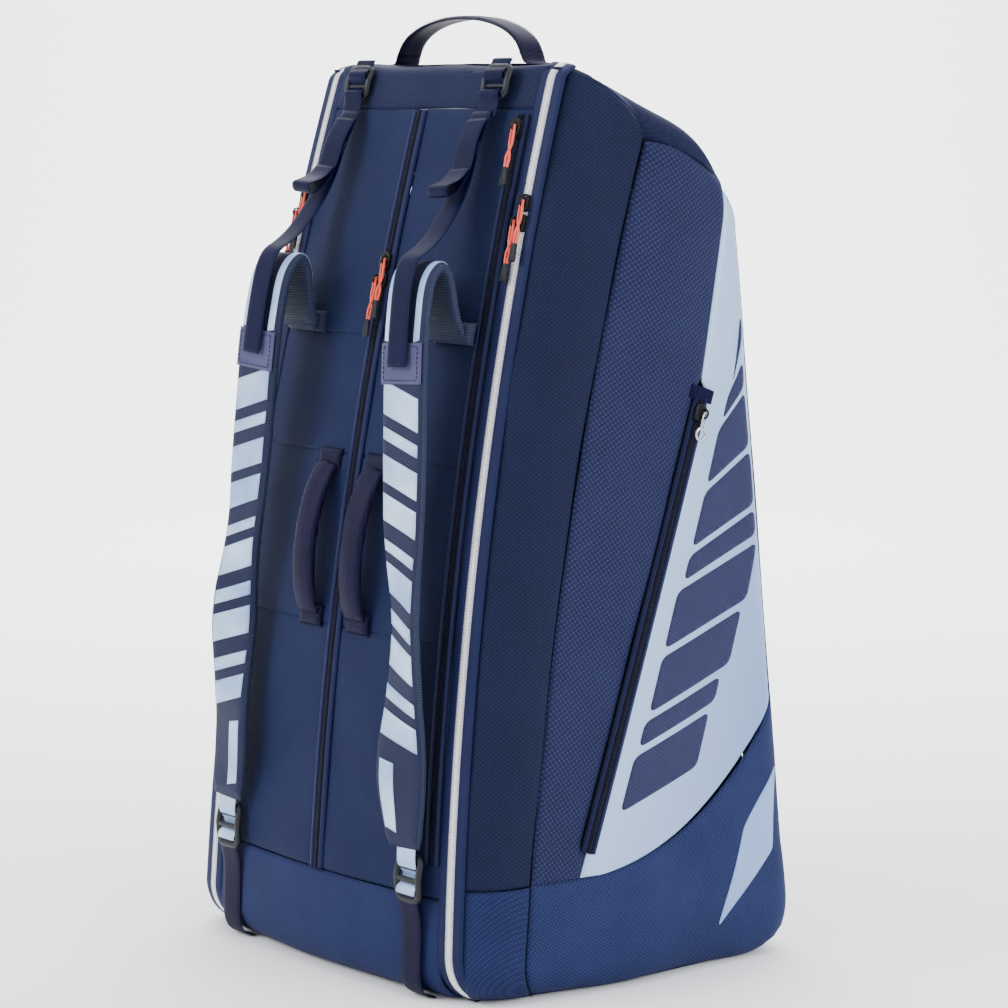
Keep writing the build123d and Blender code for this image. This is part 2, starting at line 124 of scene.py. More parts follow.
def boot_seam_z(y):
    """Height of the seam over the boot panel: level at the front, rising to the back."""
    rise = np.clip((y - FOOT_Y - 103.0) / 235.0, 0.0, 1.0) ** (1.0 / 0.45)
    return BOOT_SEAM + 138.0 * rise


def pocket_y(z):
    low = POCKET_FOOT[0] + (POCKET_HEAD[0] - POCKET_FOOT[0]) * (z - POCKET_FOOT[1]) / (POCKET_HEAD[1] - POCKET_FOOT[1])
    top = POCKET_HEAD[0] + (POCKET_TOP[0] - POCKET_HEAD[0]) * (z - POCKET_HEAD[1]) / (POCKET_TOP[1] - POCKET_HEAD[1])
    return np.where(z < POCKET_HEAD[1], low, top)


def gusset_point(z, along):
    start = zip_x(z) + COIL + 2.5
    front = spine_y(z) + CROWNING + 2.0
    x = start + (seam_x(z) - start) * (1.0 - (1.0 - along) ** 1.9)
    y = front + (seam_y(z) - front) * along ** 1.35
    return np.stack([x - arc_drop(np.maximum(24.0 - z, 0.0), 24.0), y, z + 0.0 * along], -1)


# ---- mesh tools ----
def steps(length, pitch=5.0, fine=(0.0, 0.7, 1.5, 2.5, 4.0)):
    """Stations from 0 to 1 along a length in mm, closer together at both ends."""
    inner = np.arange(fine[-1] + pitch * 0.8, length - fine[-1] - pitch * 0.5, pitch)
    rows = np.concatenate([fine, inner, length - np.array(fine[::-1])])
    return np.unique(np.clip(rows / length, 0.0, 1.0))


def with_creases(rows, length, places, reach=(-3.0, -1.6, -0.7, 0.0, 0.7, 1.6, 3.0)):
    """The stations again with some close to each crease, given in mm."""
    for place in places:
        near = (place + np.array(reach)) / length
        rows = rows[np.abs(rows - place / length) > 3.4 / length]
        rows = np.concatenate([rows, near])
    return np.unique(np.clip(rows, 0.0, 1.0))


def unit(v):
    return v / np.maximum(np.linalg.norm(v, axis=-1, keepdims=True), 1e-9)


def waves(p, seed, size=(70.0, 190.0), count=7):
    """Smooth undulation between about -1 and 1, the same wherever two panels meet."""
    rng = np.random.RandomState(seed)
    total = np.zeros(p.shape[:-1])
    for _ in range(count):
        direction = unit(rng.normal(size=3))
        wavelength = rng.uniform(*size)
        total += np.sin(p @ direction * (2.0 * math.pi / wavelength) + rng.uniform(0.0, 6.28))
    return total / math.sqrt(count)


def grid_faces(rows, cols, base=0, flip=False):
    i, j = np.meshgrid(np.arange(rows - 1), np.arange(cols - 1), indexing="ij")
    a = base + i * cols + j
    quads = np.stack([a, a + 1, a + cols + 1, a + cols], -1).reshape(-1, 4)
    return quads[:, ::-1] if flip else quads


def add(name, verts, faces, materials, slot, body, nodes=(), face_mats=None, smooth=True):
    """Makes one piece from vertices in mm and rides it on its body."""
    mesh = bpy.data.meshes.new(name)
    mesh.from_pydata((np.asarray(verts) * MM).tolist(), [], [list(map(int, f)) for f in faces])
    mesh.validate()
    for material in materials:
        mesh.materials.append(material)
    if face_mats is not None and len(mesh.polygons) == len(face_mats):
        mesh.polygons.foreach_set("material_index", np.asarray(face_mats, np.int32))
    mesh.polygons.foreach_set("use_smooth", np.full(len(mesh.polygons), smooth))
    mesh.update()
    piece = bpy.data.objects.new(name, mesh)
    bpy.context.scene.collection.objects.link(piece)
    if body:
        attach(piece, body)
    if nodes:
        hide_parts(*nodes)
    return piece


def add_pair(name, verts, faces, materials, slot, body, nodes=(), face_mats=None, smooth=True):
    """The right-hand piece and its mirror image, on the bodies of their own side."""
    made = []
    for side in ("right_", "left_"):
        points = np.array(verts, float)
        loops = [list(f) for f in faces]
        if side == "left_":
            points[:, 0] *= -1.0
            loops = [f[::-1] for f in loops]
        target = body if body in ("core", None) else side + body
        made.append(add(side + name, points, loops, materials, slot, target,
                        [side + n for n in nodes], face_mats, smooth))
    return made


def edge_gap(points, axis):
    """Distance in mm along one direction of a grid from its first row and from its last."""
    step = np.linalg.norm(np.diff(points, axis=axis), axis=-1)
    pad = [(0, 0), (0, 0)]
    pad[axis] = (1, 0)
    run = np.pad(np.cumsum(step, axis=axis), pad)
    return run, np.take(run, [-1], axis=axis) - run


def cloth_panel(points, thick=3.2, dip=(2.2, 2.2, 2.2, 2.2), soft=0.9, seed=3, creases=None,
                outward=None, pucker=0.3, puff=0.0, grain=(70.0, 190.0)):
    """Closed fabric panel over a grid of outer points: rolled edges, puckers and soft undulation.
    dip is how deep each edge turns in: first row, last row, first column, last column.
    Returns vertices, faces and a material index that is 1 on the lining."""
    p = np.asarray(points, float)
    rows, cols = p.shape[:2]
    along_u = np.gradient(p, axis=0)
    along_v = np.gradient(p, axis=1)
    normal = unit(np.cross(along_u, along_v))
    if outward is None:
        middle = np.array([0.0, 10.0, 360.0])
        facing = np.sum(normal * (p - middle), -1).mean()
    else:
        facing = np.sum(normal * np.asarray(outward, float), -1).mean()
    flip = facing < 0
    if flip:
        normal = -normal
    gaps = [*edge_gap(p, 0), *edge_gap(p, 1)]
    offset = soft * waves(p, seed, grain)
    fade = np.ones((rows, cols))
    nearest = np.full((rows, cols), 1e9)
    drop = np.zeros((rows, cols))
    for gap, depth in zip(gaps, dip):
        if depth > 0:
            drop = np.maximum(drop, depth * np.exp(-(gap / 1.9) ** 1.4))
            fade = fade * (1.0 - 0.75 * np.exp(-gap / 14.0))
            nearest = np.minimum(nearest, gap)
    offset = offset * fade - drop
    run = p @ np.array([0.31, 0.62, 1.0])
    ripple = np.sin(run * 0.47 + 1.7 * np.sin(run * 0.061)) * (0.6 + 0.4 * np.sin(run * 0.083 + seed))
    offset += pucker * ripple * np.exp(-(nearest / 8.0)) * (1.0 - np.exp(-(nearest / 1.8)))
    if puff:
        offset += puff * (1.0 - np.exp(-nearest / 16.0))
    if creases is not None:
        offset += creases(p)
    outer = p + normal * offset[..., None]
    inner = p - normal * thick
    count = rows * cols
    verts = np.concatenate([outer.reshape(-1, 3), inner.reshape(-1, 3)])
    front = grid_faces(rows, cols, 0, flip)
    back = grid_faces(rows, cols, count, not flip)
    index = np.arange(count).reshape(rows, cols)
    border = np.concatenate([index[0, :], index[1:, -1], index[-1, -2::-1], index[-2:0:-1, 0]])
    following = np.roll(border, -1)
    rim = np.stack([border, border + count, following + count, following], -1)
    if flip:
        rim = rim[:, ::-1]
    faces = np.concatenate([front, back, rim])
    mats = np.concatenate([np.zeros(len(front)), np.ones(len(back)), np.zeros(len(rim))])
    return verts, faces, mats


def frames(path, hint):
    """Tangent, outward normal and across direction at each point of a path."""
    path = np.asarray(path, float)
    tangent = unit(np.gradient(path, axis=0))
    hint = np.broadcast_to(np.asarray(hint, float), path.shape)
    normal = unit(hint - tangent * np.sum(hint * tangent, -1, keepdims=True))
    return tangent, normal, unit(np.cross(normal, tangent))


def resample(path, pitch):
    path = np.asarray(path, float)
    run = np.concatenate([[0.0], np.cumsum(np.linalg.norm(np.diff(path, axis=0), axis=1))])
    count = max(int(round(run[-1] / pitch)), 2)
    wanted = np.linspace(0.0, run[-1], count + 1)
    return np.stack([np.interp(wanted, run, path[:, k]) for k in range(3)], -1)


def smooth_path(points, pitch=4.0, rounds=3):
    """Chaikin-rounded path through control points, evenly spaced."""
    pts = np.asarray(points, float)
    for _ in range(rounds):
        a = pts[:-1] * 0.75 + pts[1:] * 0.25
        b = pts[:-1] * 0.25 + pts[1:] * 0.75
        pts = np.concatenate([pts[:1], np.stack([a, b], 1).reshape(-1, 3), pts[-1:]])
    return resample(pts, pitch)


def sweep(path, across, normal, profile, caps=True):
    """Closed profile, (across, outward) in mm, carried along a path. profile may differ at each point."""
    path = np.asarray(path, float)
    profile = np.asarray(profile, float)
    if profile.ndim == 2:
        profile = np.broadcast_to(profile, (len(path),) + profile.shape)
    n, m = profile.shape[:2]
    verts = (path[:, None] + across[:, None] * profile[..., :1] + normal[:, None] * profile[..., 1:]).reshape(-1, 3)
    i, j = np.meshgrid(np.arange(n - 1), np.arange(m), indexing="ij")
    a, b = i * m + j, i * m + (j + 1) % m
    faces = [list(f) for f in np.stack([a, b, b + m, a + m], -1).reshape(-1, 4)]
    if caps:
        faces.append(list(range(m))[::-1])
        faces.append(list(range((n - 1) * m, n * m)))
    return verts, faces


def ribbon_profile(width, thick, edge=0.8, rise=0.0, count=9):
    """Flat webbing with soft edges; rise bows its face."""
    half = width / 2.0
    xs = half * np.sin(np.linspace(-math.pi / 2, math.pi / 2, count))
    top = [(x, thick * (1.0 - 0.5 * (abs(x) / half) ** 8) + rise * (1 - (x / half) ** 2)) for x in xs]
    low = [(x, thick * 0.5 * (abs(x) / half) ** 8 + rise * (1 - (x / half) ** 2)) for x in xs[::-1]]
    return np.array(top[1:-1] + [(half, thick * 0.5)] + low[1:-1] + [(-half, thick * 0.5)])


def tube_profile(radius, count=8):
    turn = np.linspace(0.0, 2.0 * math.pi, count, endpoint=False)
    return np.stack([radius * np.cos(turn), radius * np.sin(turn)], -1)


def join(*meshes):
    verts, faces, base = [], [], 0
    for v, f in meshes:
        verts.append(np.asarray(v, float))
        faces += [[int(k) + base for k in loop] for loop in f]
        base += len(v)
    return np.concatenate(verts), faces


def teeth(path, hint, pitch, inner, outer, height, thick, phase=0.0, lift=0.0):
    """Row of coil turns across a zip, from inner to outer offset."""
    line = resample(path, pitch)
    tangent, normal, across = frames(line, hint)
    if phase:
        line = (line[:-1] + line[1:]) / 2.0
        tangent, normal, across = tangent[:-1], normal[:-1], across[:-1]
    turn = np.linspace(0.0, math.pi, 6)
    arch = np.stack([-np.cos(turn) * thick / 2.0, np.sin(turn) * height], -1)
    shape = []
    for offset, scale in ((inner, 0.75), (inner + 0.35 * np.sign(outer - inner), 1.0), (outer, 0.9)):
        for along, up in arch:
            shape.append((along * scale, offset, lift + up * scale))
    shape = np.array(shape)
    verts = (line[:, None] + tangent[:, None] * shape[None, :, :1] + across[:, None] * shape[None, :, 1:2]
             + normal[:, None] * shape[None, :, 2:3]).reshape(-1, 3)
    one = [list(f) for f in grid_faces(3, 6, 0, outer > inner)]
    ends = [[0, 1, 2, 3, 4, 5], [17, 16, 15, 14, 13, 12]]
    one += [e[::-1] for e in ends] if outer < inner else ends
    faces = [[k + 18 * i for k in f] for i in range(len(line)) for f in one]
    return verts, faces


def stitches(path, hint, length=2.7, gap=1.1, radius=0.32, lift=0.25):
    """Run of thread stitches lying on a surface."""
    line = resample(path, length + gap)
    tangent, normal, across = frames(line, hint)
    verts, faces = [], []
    share = length / (length + gap)
    ring = tube_profile(radius, 5)
    for k in range(len(line) - 1):
        a = line[k]
        b = line[k] + (line[k + 1] - line[k]) * share
        base = len(verts)
        for point, size, sink in ((a, 0.35, -0.25), (a * 0.85 + b * 0.15, 1.0, 0.0),
                                  (a * 0.15 + b * 0.85, 1.0, 0.0), (b, 0.35, -0.25)):
            for u, w in ring:
                verts.append(point + across[k] * u * size + normal[k] * (w * size + lift + sink))
        for r in range(3):
            for c in range(5):
                d = (c + 1) % 5
                faces.append([base + r * 5 + c, base + r * 5 + d, base + (r + 1) * 5 + d,
                              base + (r + 1) * 5 + c])
        faces.append([base + 4, base + 3, base + 2, base + 1, base])
        faces.append([base + 15, base + 16, base + 17, base + 18, base + 19])
    return np.array(verts), faces


# ---- materials ----
def srgb(r, g, b):
    def linear(c):
        c = c / 255.0
        return c / 12.92 if c <= 0.04045 else ((c + 0.055) / 1.055) ** 2.4
    return (linear(r), linear(g), linear(b), 1.0)


class Nodes:
    """Small helper that wires one material's nodes."""

    def __init__(self, name, roughness, sheen=0.0, metallic=0.0, coat=0.0, sheen_tint=(1, 1, 1, 1),
                 specular=0.5):
        self.material = bpy.data.materials.new(name)
        self.material.use_nodes = True
        self.tree = self.material.node_tree
        self.shader = self.tree.nodes["Principled BSDF"]
        self.shader.inputs["Roughness"].default_value = roughness
        self.shader.inputs["Metallic"].default_value = metallic
        self.shader.inputs["Sheen Weight"].default_value = sheen
        self.shader.inputs["Sheen Roughness"].default_value = 0.45
        self.shader.inputs["Sheen Tint"].default_value = sheen_tint
        self.shader.inputs["Coat Weight"].default_value = coat
        self.shader.inputs["Specular IOR Level"].default_value = specular
        self.position = self.node("ShaderNodeTexCoord").outputs["Object"]

    def node(self, kind, **settings):
        made = self.tree.nodes.new(kind)
        for key, value in settings.items():
            setattr(made, key, value)
        return made

    def link(self, source, socket):
        self.tree.links.new(source, socket)

    def math(self, operation, a, b=None, c=None):
        made = self.node("ShaderNodeMath", operation=operation)
        for socket, value in zip(made.inputs, (a, b, c)):
            if value is None:
                continue
            if isinstance(value, (int, float)):
                socket.default_value = value
            else:
                self.link(value, socket)
        return made.outputs[0]

    def along(self, direction):
        """Position along a direction, times its length."""
        made = self.node("ShaderNodeVectorMath", operation="DOT_PRODUCT")
        self.link(self.position, made.inputs[0])
        made.inputs[1].default_value = direction
        return made.outputs["Value"]

    def ribs(self, direction, pitch, phase=0.0):
        """Waves from 0 to 1 along a direction, one each pitch in mm."""
        d = Vector(direction).normalized() * (2.0 * math.pi / (pitch * MM))
        wave = self.math("SINE", self.math("ADD", self.along(tuple(d)), phase))
        return self.math("MULTIPLY_ADD", wave, 0.5, 0.5)

    def noise(self, size, detail=3.0, roughness=0.55):
        made = self.node("ShaderNodeTexNoise")
        self.link(self.position, made.inputs["Vector"])
        made.inputs["Scale"].default_value = 1.0 / (size * MM)
        made.inputs["Detail"].default_value = detail
        made.inputs["Roughness"].default_value = roughness
        return made.outputs["Fac"]

    def mix(self, factor, a, b):
        made = self.node("ShaderNodeMix", data_type="RGBA")
        if isinstance(factor, float):
            made.inputs["Factor"].default_value = factor
        else:
            self.link(factor, made.inputs["Factor"])
        for socket, value in (("A", a), ("B", b)):
            target = [s for s in made.inputs if s.name == socket and s.type == "RGBA"][0]
            if isinstance(value, tuple):
                target.default_value = value
            else:
                self.link(value, target)
        return [s for s in made.outputs if s.type == "RGBA"][0]

    def ramp(self, value, low, high):
        made = self.node("ShaderNodeMapRange", clamp=True)
        self.link(value, made.inputs["Value"])
        made.inputs["From Min"].default_value = low
        made.inputs["From Max"].default_value = high
        return made.outputs["Result"]

    def finish(self, color, height=None, depth=0.15, strength=0.6):
        if isinstance(color, tuple):
            self.shader.inputs["Base Color"].default_value = color
        else:
            self.link(color, self.shader.inputs["Base Color"])
        if height is not None:
            bump = self.node("ShaderNodeBump")
            bump.inputs["Strength"].default_value = strength
            bump.inputs["Distance"].default_value = depth * MM
            self.link(height, bump.inputs["Height"])
            self.link(bump.outputs["Normal"], self.shader.inputs["Normal"])
        return self.material


def woven(name, low, high, a, b, pitch, roughness=0.72, sheen=0.03, depth=0.22, cloudy=0.16, contrast=1.0,
          strength=0.8, product=True):
    """Cloth with two sets of ribs crossing along directions a and b."""
    n = Nodes(name, roughness, sheen, sheen_tint=srgb(150, 165, 220), specular=0.14)
    first = n.ribs(a, pitch)
    second = n.ribs(b, pitch * 1.13, 1.3)
    weave = n.math("MULTIPLY", first, second) if product else n.math("MAXIMUM", first, second)
    patchy = n.noise(45.0)
    yarn = n.noise(1.6, 2.0)
    height = n.math("ADD", weave, n.math("MULTIPLY", yarn, 0.5))
    factor = n.math("MULTIPLY_ADD", weave, 0.62 * contrast, n.math("MULTIPLY", yarn, 0.3))
    factor = n.math("ADD", factor, n.math("MULTIPLY_ADD", patchy, cloudy * 2.0, -cloudy))
    return n.finish(n.mix(factor, low, high), height, depth, strength)


X, Y, Z = Vector((1, 0, 0)), Vector((0, 1, 0)), Vector((0, 0, 1))

NAVY_SPINE = woven("cloth_spine_weave", srgb(6, 13, 41), srgb(26, 40, 79), X + Z * 0.9, X - Z * 0.9, 2.3,
                   contrast=0.8, depth=0.16)
NAVY_GUSSET = woven("cloth_gusset_weave", srgb(4, 8, 31), srgb(22, 33, 68), Y + X + Z * 1.7, Y + X - Z * 1.7,
                    2.6,
                    contrast=0.95, depth=0.22)
NAVY_LATTICE = woven("cloth_side_lattice", srgb(9, 11, 37), srgb(49, 57, 99), Y * 1.0 + Z * 0.62,
                     Y * 0.75 - Z * 1.2, 3.1, contrast=0.9, depth=0.26, cloudy=0.08)
NAVY_CAP = woven("cloth_top_weave", srgb(7, 13, 39), srgb(30, 39, 73), X + Y + Z, X - Y + Z, 2.0,
                 contrast=0.6, depth=0.12)
NAVY_BOOT = woven("cloth_boot_twill", srgb(10, 18, 53), srgb(49, 61, 105), Y + Z * 1.5, Y * 1.5 - Z, 2.4,
                  contrast=0.9,
                  depth=0.2)
NAVY_BOOT_FRONT = woven("cloth_foot_twill", srgb(10, 17, 51), srgb(39, 51, 95), X + Z * 1.5 + Y, X * 1.5 - Z,
                        2.4,
                        contrast=0.8, depth=0.18)
WELT = woven("cloth_welt", srgb(10, 16, 49), srgb(27, 37, 76), X + Y + Z, X - Y + Z, 1.1, contrast=0.5,
             depth=0.06,
             roughness=0.6)
LINING = woven("cloth_lining", srgb(92, 98, 110), srgb(146, 152, 164), X + Z, X - Z, 1.6, contrast=0.5,
               depth=0.08)


def make_silver():
    n = Nodes("cloth_silver_blue_satin", 0.42, 0.05, metallic=0.3, sheen_tint=srgb(210, 225, 250),
              specular=0.5)
    # Printed gradient mixed with painted reflection: shade runs pale towards the front edge and the top, where light
    # glances off the satin, and mid blue towards the back; part is the print's own shading, part is painted sheen.
    across = n.along((0.0, 1.0, -0.32))
    shade = n.ramp(n.math("ADD", across, n.math("MULTIPLY", n.noise(70.0, 2.0), 0.04)), -0.14, 0.13)
    color = n.mix(shade, srgb(164, 192, 222), srgb(92, 122, 176))
    fine = n.math("MULTIPLY", n.ribs(Y + Z * 0.4, 0.9), n.ribs(Y * 0.4 - Z, 0.9))
    color = n.mix(n.math("MULTIPLY", fine, 0.12), color, srgb(236, 244, 252))
    return n.finish(color, n.math("ADD", fine, n.math("MULTIPLY", n.noise(9.0), 1.2)), 0.1, 0.35)


def make_print(name, a, b, low, high, pitch=1.9):
    n = Nodes(name, 0.62, 0.05, sheen_tint=srgb(140, 155, 215), specular=0.22)
    hatch = n.ribs(a, pitch)
    cross = n.ribs(b, pitch * 1.6)
    weave = n.math("MULTIPLY", hatch, n.math("MULTIPLY_ADD", cross, 0.5, 0.5))
    return n.finish(n.mix(n.math("MULTIPLY_ADD", n.noise(20.0), 0.25, n.math("MULTIPLY", weave, 0.65)), low,
                          high),
                    weave, 0.14, 0.6)


SILVER = make_silver()
PRINT_SIDE = make_print("print_navy_hatch", Y * 1.0 - Z * 0.75, Y + Z * 1.4, srgb(7, 10, 39),
                        srgb(46, 53, 95))
PRINT_STRAP = make_print("print_strap_navy", X + Z * 0.5, X * 0.3 - Z, srgb(5, 9, 36), srgb(20, 28, 64), 1.3)
PATCH_PALE = make_print("print_pale_blue", Y + Z, Y - Z, srgb(112, 140, 188), srgb(150, 176, 218), 1.2)


def make_strap_face():
    n = Nodes("strap_face_silver_blue", 0.4, 0.2, metallic=0.2, sheen_tint=srgb(210, 225, 250))
    fine = n.math("MULTIPLY", n.ribs(X + Z * 0.3, 1.1), n.ribs(X * 0.3 - Z, 1.1))
    shade = n.noise(60.0, 2.0)
    return n.finish(n.mix(n.math("MULTIPLY_ADD", fine, 0.15, n.ramp(shade, 0.35, 0.7)), srgb(118, 150, 194),
                          srgb(178, 202, 226)),
                    fine, 0.07, 0.4)


def webbing(name, low, high, pitch=1.5, roughness=0.5):
    """Tightly woven tape: fine ribs along it and a faint cross rib."""
    n = Nodes(name, roughness, 0.02, sheen_tint=srgb(160, 155, 210), specular=0.08)
    ribs = n.ribs((1.0, 0.12, 0.06), pitch)
    cross = n.ribs((0.05, 0.55, 1.0), 1.1)
    weave = n.math("MULTIPLY_ADD", cross, 0.35, ribs)
    patchy = n.noise(26.0)
    factor = n.math("MULTIPLY_ADD", weave, 0.3, n.math("MULTIPLY_ADD", patchy, 0.5, -0.05))
    return n.finish(n.mix(factor, low, high), weave, 0.14, 0.6)


STRAP_FACE = make_strap_face()
WEB_NAVY = webbing("webbing_navy", srgb(0, 2, 27), srgb(5, 13, 53))
WEB_PURPLE = webbing("webbing_purple_navy", srgb(4, 4, 23), srgb(27, 22, 54), 2.2)
WEB_HANDLE = webbing("webbing_handle", srgb(4, 4, 24), srgb(26, 24, 52), 1.3)
PATCH = webbing("webbing_patch", srgb(47, 47, 76), srgb(87, 87, 119), 1.8)


def make_mesh_edge():
    n = Nodes("strap_edge_mesh", 0.7, 0.06, sheen_tint=srgb(120, 140, 190), specular=0.3)
    ribs = n.ribs(Z * 1.0 + Y * 0.15, 2.1)
    side = n.ribs(X + Y * 0.7, 1.6)
    weave = n.math("MULTIPLY_ADD", side, 0.4, ribs)
    return n.finish(n.mix(n.math("MULTIPLY", weave, 0.7), srgb(9, 14, 31), srgb(32, 46, 74)), weave, 0.3, 0.9)


MESH_EDGE = make_mesh_edge()


def hard(name, low, high, roughness, size=6.0, metallic=0.0, coat=0.0, depth=0.03, specular=0.15):
    """Moulded or metal trim with faint mottling."""
    n = Nodes(name, roughness, 0.0, metallic=metallic, coat=coat, specular=specular)
    mottle = n.noise(size, 4.0)
    return n.finish(n.mix(mottle, low, high), n.noise(0.7, 2.0), depth, 0.4)


TEETH_WHITE = hard("coil_white", srgb(214, 214, 216), srgb(246, 246, 248), 0.38)
TEETH_NAVY = hard("coil_navy", srgb(4, 6, 17), srgb(22, 25, 47), 0.34)
TAPE_WHITE = woven("tape_grey_white", srgb(150, 154, 166), srgb(206, 208, 214), X + Z, X - Z, 0.9,
                   contrast=0.5, depth=0.04)
TAPE_NAVY = woven("tape_navy", srgb(6, 7, 20), srgb(20, 24, 49), X + Z, X - Z, 0.9, contrast=0.5, depth=0.04)
BLACK_METAL = hard("slider_black", srgb(5, 6, 7), srgb(22, 23, 28), 0.34, metallic=0.3, coat=0.05)
PLASTIC = hard("moulded_dark", srgb(6, 9, 15), srgb(26, 31, 38), 0.42, 3.0, coat=0.04, specular=0.25)
RUBBER = hard("tip_rubber", srgb(10, 11, 14), srgb(38, 40, 46), 0.5)
STEEL = hard("ring_steel", srgb(150, 152, 158), srgb(214, 216, 222), 0.22, metallic=0.95)
THREAD = hard("thread_navy", srgb(11, 12, 32), srgb(37, 39, 72), 0.7, 2.0)


def make_cord():
    n = Nodes("cord_orange_red", 0.5, 0.25, specular=0.4)
    braid = n.math("MULTIPLY", n.ribs(X * 1.2 + Z, 1.1), n.ribs(X * 1.2 - Z, 1.1))
    return n.finish(n.mix(n.math("MULTIPLY_ADD", braid, 0.5, n.math("MULTIPLY", n.noise(5.0), 0.5)),
                          srgb(188, 44, 26), srgb(240, 98, 66)),
                    braid, 0.12, 0.7)


CORD = make_cord()

SLOT_NAVY, SLOT_SIDE, SLOT_SILVER = "fabric_navy", "fabric_navy_side", "fabric_silver_blue"


# ---- middle compartment ----
def surface(u_rows, v_rows, at):
    u, v = np.meshgrid(u_rows, v_rows, indexing="ij")
    return at(u, v)


def spine_wrinkles(p):
    """Cross seams pressed into the spine panel and the slack cloth beside them."""
    x, z = p[..., 0], p[..., 2]
    groove = np.zeros(x.shape)
    for seam in (STRAP_SEAM, HANDLE_HEAD, HANDLE_FOOT):
        away = np.abs(z - seam)
        groove -= 1.3 * np.exp(-(away / 1.1) ** 2) + 0.5 * np.exp(-(away / 9.0) ** 2)
        groove += 0.22 * np.sin(x * 0.52 + 2.0 * np.sin(x * 0.07)) * np.exp(-(away / 7.0)) * (away > 1.2)
    groove += 0.7 * np.sin(x * 0.05 + z * 0.012) * np.sin(z * 0.017 + 1.0)
    return groove


def spine_panels():
    length = YOKE_SEAM - BASE_SEAM + 0.6
    v_rows = with_creases(steps(length), length,
                          [STRAP_SEAM - BASE_SEAM, HANDLE_HEAD - BASE_SEAM, HANDLE_FOOT - BASE_SEAM])
    def at(u, v):
        z = BASE_SEAM + 0.5 + length * v
        x = 6.6 + (zip_x(z) - COIL - 3.6 - 6.6) * u
        return np.stack([x, spine_front(x, z), z], -1)
    grid = surface(steps(143.0), v_rows, at)
    mesh = cloth_panel(grid, creases=spine_wrinkles, seed=5, soft=1.1, outward=(0, -1, 0.1))
    add_pair("spine_cloth", mesh[0], mesh[1], [NAVY_SPINE, LINING], SLOT_NAVY, "core", ["spine_panel"],
             mesh[2])


def top_piece():
    """Yoke, rolled top edge and the top of the middle compartment, as one sheet."""
    roll_end = spine_y(SPINE_TOP) + 26.0
    back = REAR_Y - REAR_LEAN * CROWN_END
    straight, roll, crown = SPINE_TOP - YOKE_SEAM - 0.5, 28.0, 245.0
    total = straight + roll + crown
    v_rows = np.unique(np.concatenate([steps(total, 5.0), np.linspace(straight, straight + roll, 9) / total]))
    def at(u, v):
        run = v * total
        z0 = np.clip(YOKE_SEAM + 0.5 + run, YOKE_SEAM, SPINE_TOP)
        reach = np.where(run < straight, zip_x(z0) - COIL - 3.6, zip_x(SPINE_TOP) - COIL - 3.6
                         + (COIL + 2.6) * np.clip((run - straight) / roll, 0.0, 1.0) ** 0.6)
        x = u * reach
        front = np.stack([x, spine_front(x, z0), z0], -1)
        t = np.clip((run - straight) / roll, 0.0, 1.0)[..., None]
        y_end = roll_end + 0.0 * x
        start = np.stack([x, spine_front(x, SPINE_TOP), SPINE_TOP + 0.0 * x], -1)
        end = np.stack([x, y_end, core_crown_z(y_end)], -1)
        up = start + np.array([0.0, 2.6, 10.5])
        before = end + np.array([0.0, -11.0, -1.4])
        bend = (1 - t) ** 3 * start + 3 * (1 - t) ** 2 * t * up + 3 * (1 - t) * t * t * before + t ** 3 * end
        y = roll_end + (back - roll_end) * np.clip((run - straight - roll) / crown, 0.0, 1.0)
        # rows follow the crown's arc, which is steeper to the back
        flat = np.stack([x, y, core_crown_z(y) - 1.5 * np.abs(u) ** 6], -1)
        shape = np.where((run < straight)[..., None], front, bend)
        return np.where((run > straight + roll)[..., None], flat, shape)
    u_rows = steps(290.0, 5.0) * 2.0 - 1.0
    grid = surface(u_rows, v_rows, at)
    def hollow(p):
        return 1.6 * np.sin(p[..., 0] * 0.021 + 0.8) * np.sin(p[..., 1] * 0.035 + 0.4) - 0.6
    mesh = cloth_panel(grid, soft=1.3, seed=8, outward=(0, -0.3, 1.0), creases=hollow, puff=0.6)
    add("top_cloth", mesh[0], mesh[1], [NAVY_CAP, LINING], SLOT_NAVY, "core",
        ["top_yoke_panel", "middle_top_panel"], mesh[2])


def spine_foot():
    """Foot of the spine panel, rolled under the front edge."""
    length = 130.0
    def at(u, v):
        x = u * (zip_x(60.0) - COIL - 3.6)
        crowning = spine_front(x, 27.0) - spine_y(27.0)
        run = v * length
        z = BASE_SEAM - 0.5 - run
        wall = np.stack([x, spine_front(x, np.maximum(z, 30.0)), np.maximum(z, 30.0)], -1)
        t = np.clip((run - 54.5) / 40.0, 0.0, 1.0)[..., None]
        start = np.stack([x, spine_front(x, 30.0), 30.0 + 0.0 * x], -1)
        end = np.stack([x, FOOT_Y + crowning + 27.0, 0.6 + 0.0 * x], -1)
        low = start + np.array([0.0, -1.4, -15.0])
        before = end + np.array([0.0, -15.0, 0.0])
        bend = (1 - t) ** 3 * start + 3 * (1 - t) ** 2 * t * low + 3 * (1 - t) * t * t * before + t ** 3 * end
        flat = end + np.stack([0.0 * x, np.maximum(run - 94.5, 0.0), 0.0 * x], -1)
        shape = np.where((run < 54.5)[..., None], wall, bend)
        return np.where((run > 94.5)[..., None], flat, shape)
    grid = surface(steps(300.0) * 2.0 - 1.0, steps(length, 4.5), at)
    def level(p):
        return -0.5 * waves(p, 4) * (p[..., 2] < 3.0)
    mesh = cloth_panel(grid, soft=0.5, seed=4, outward=(0, -1, -0.3), dip=(1.6, 1.6, 2.2, 0.0), thick=3.0,
                       creases=level)
    mesh[0][:, 2] = np.maximum(mesh[0][:, 2], 0.3)
    add("foot_cloth", mesh[0], mesh[1], [NAVY_BOOT_FRONT, LINING], SLOT_NAVY, "core", ["spine_boot_panel"],
        mesh[2])


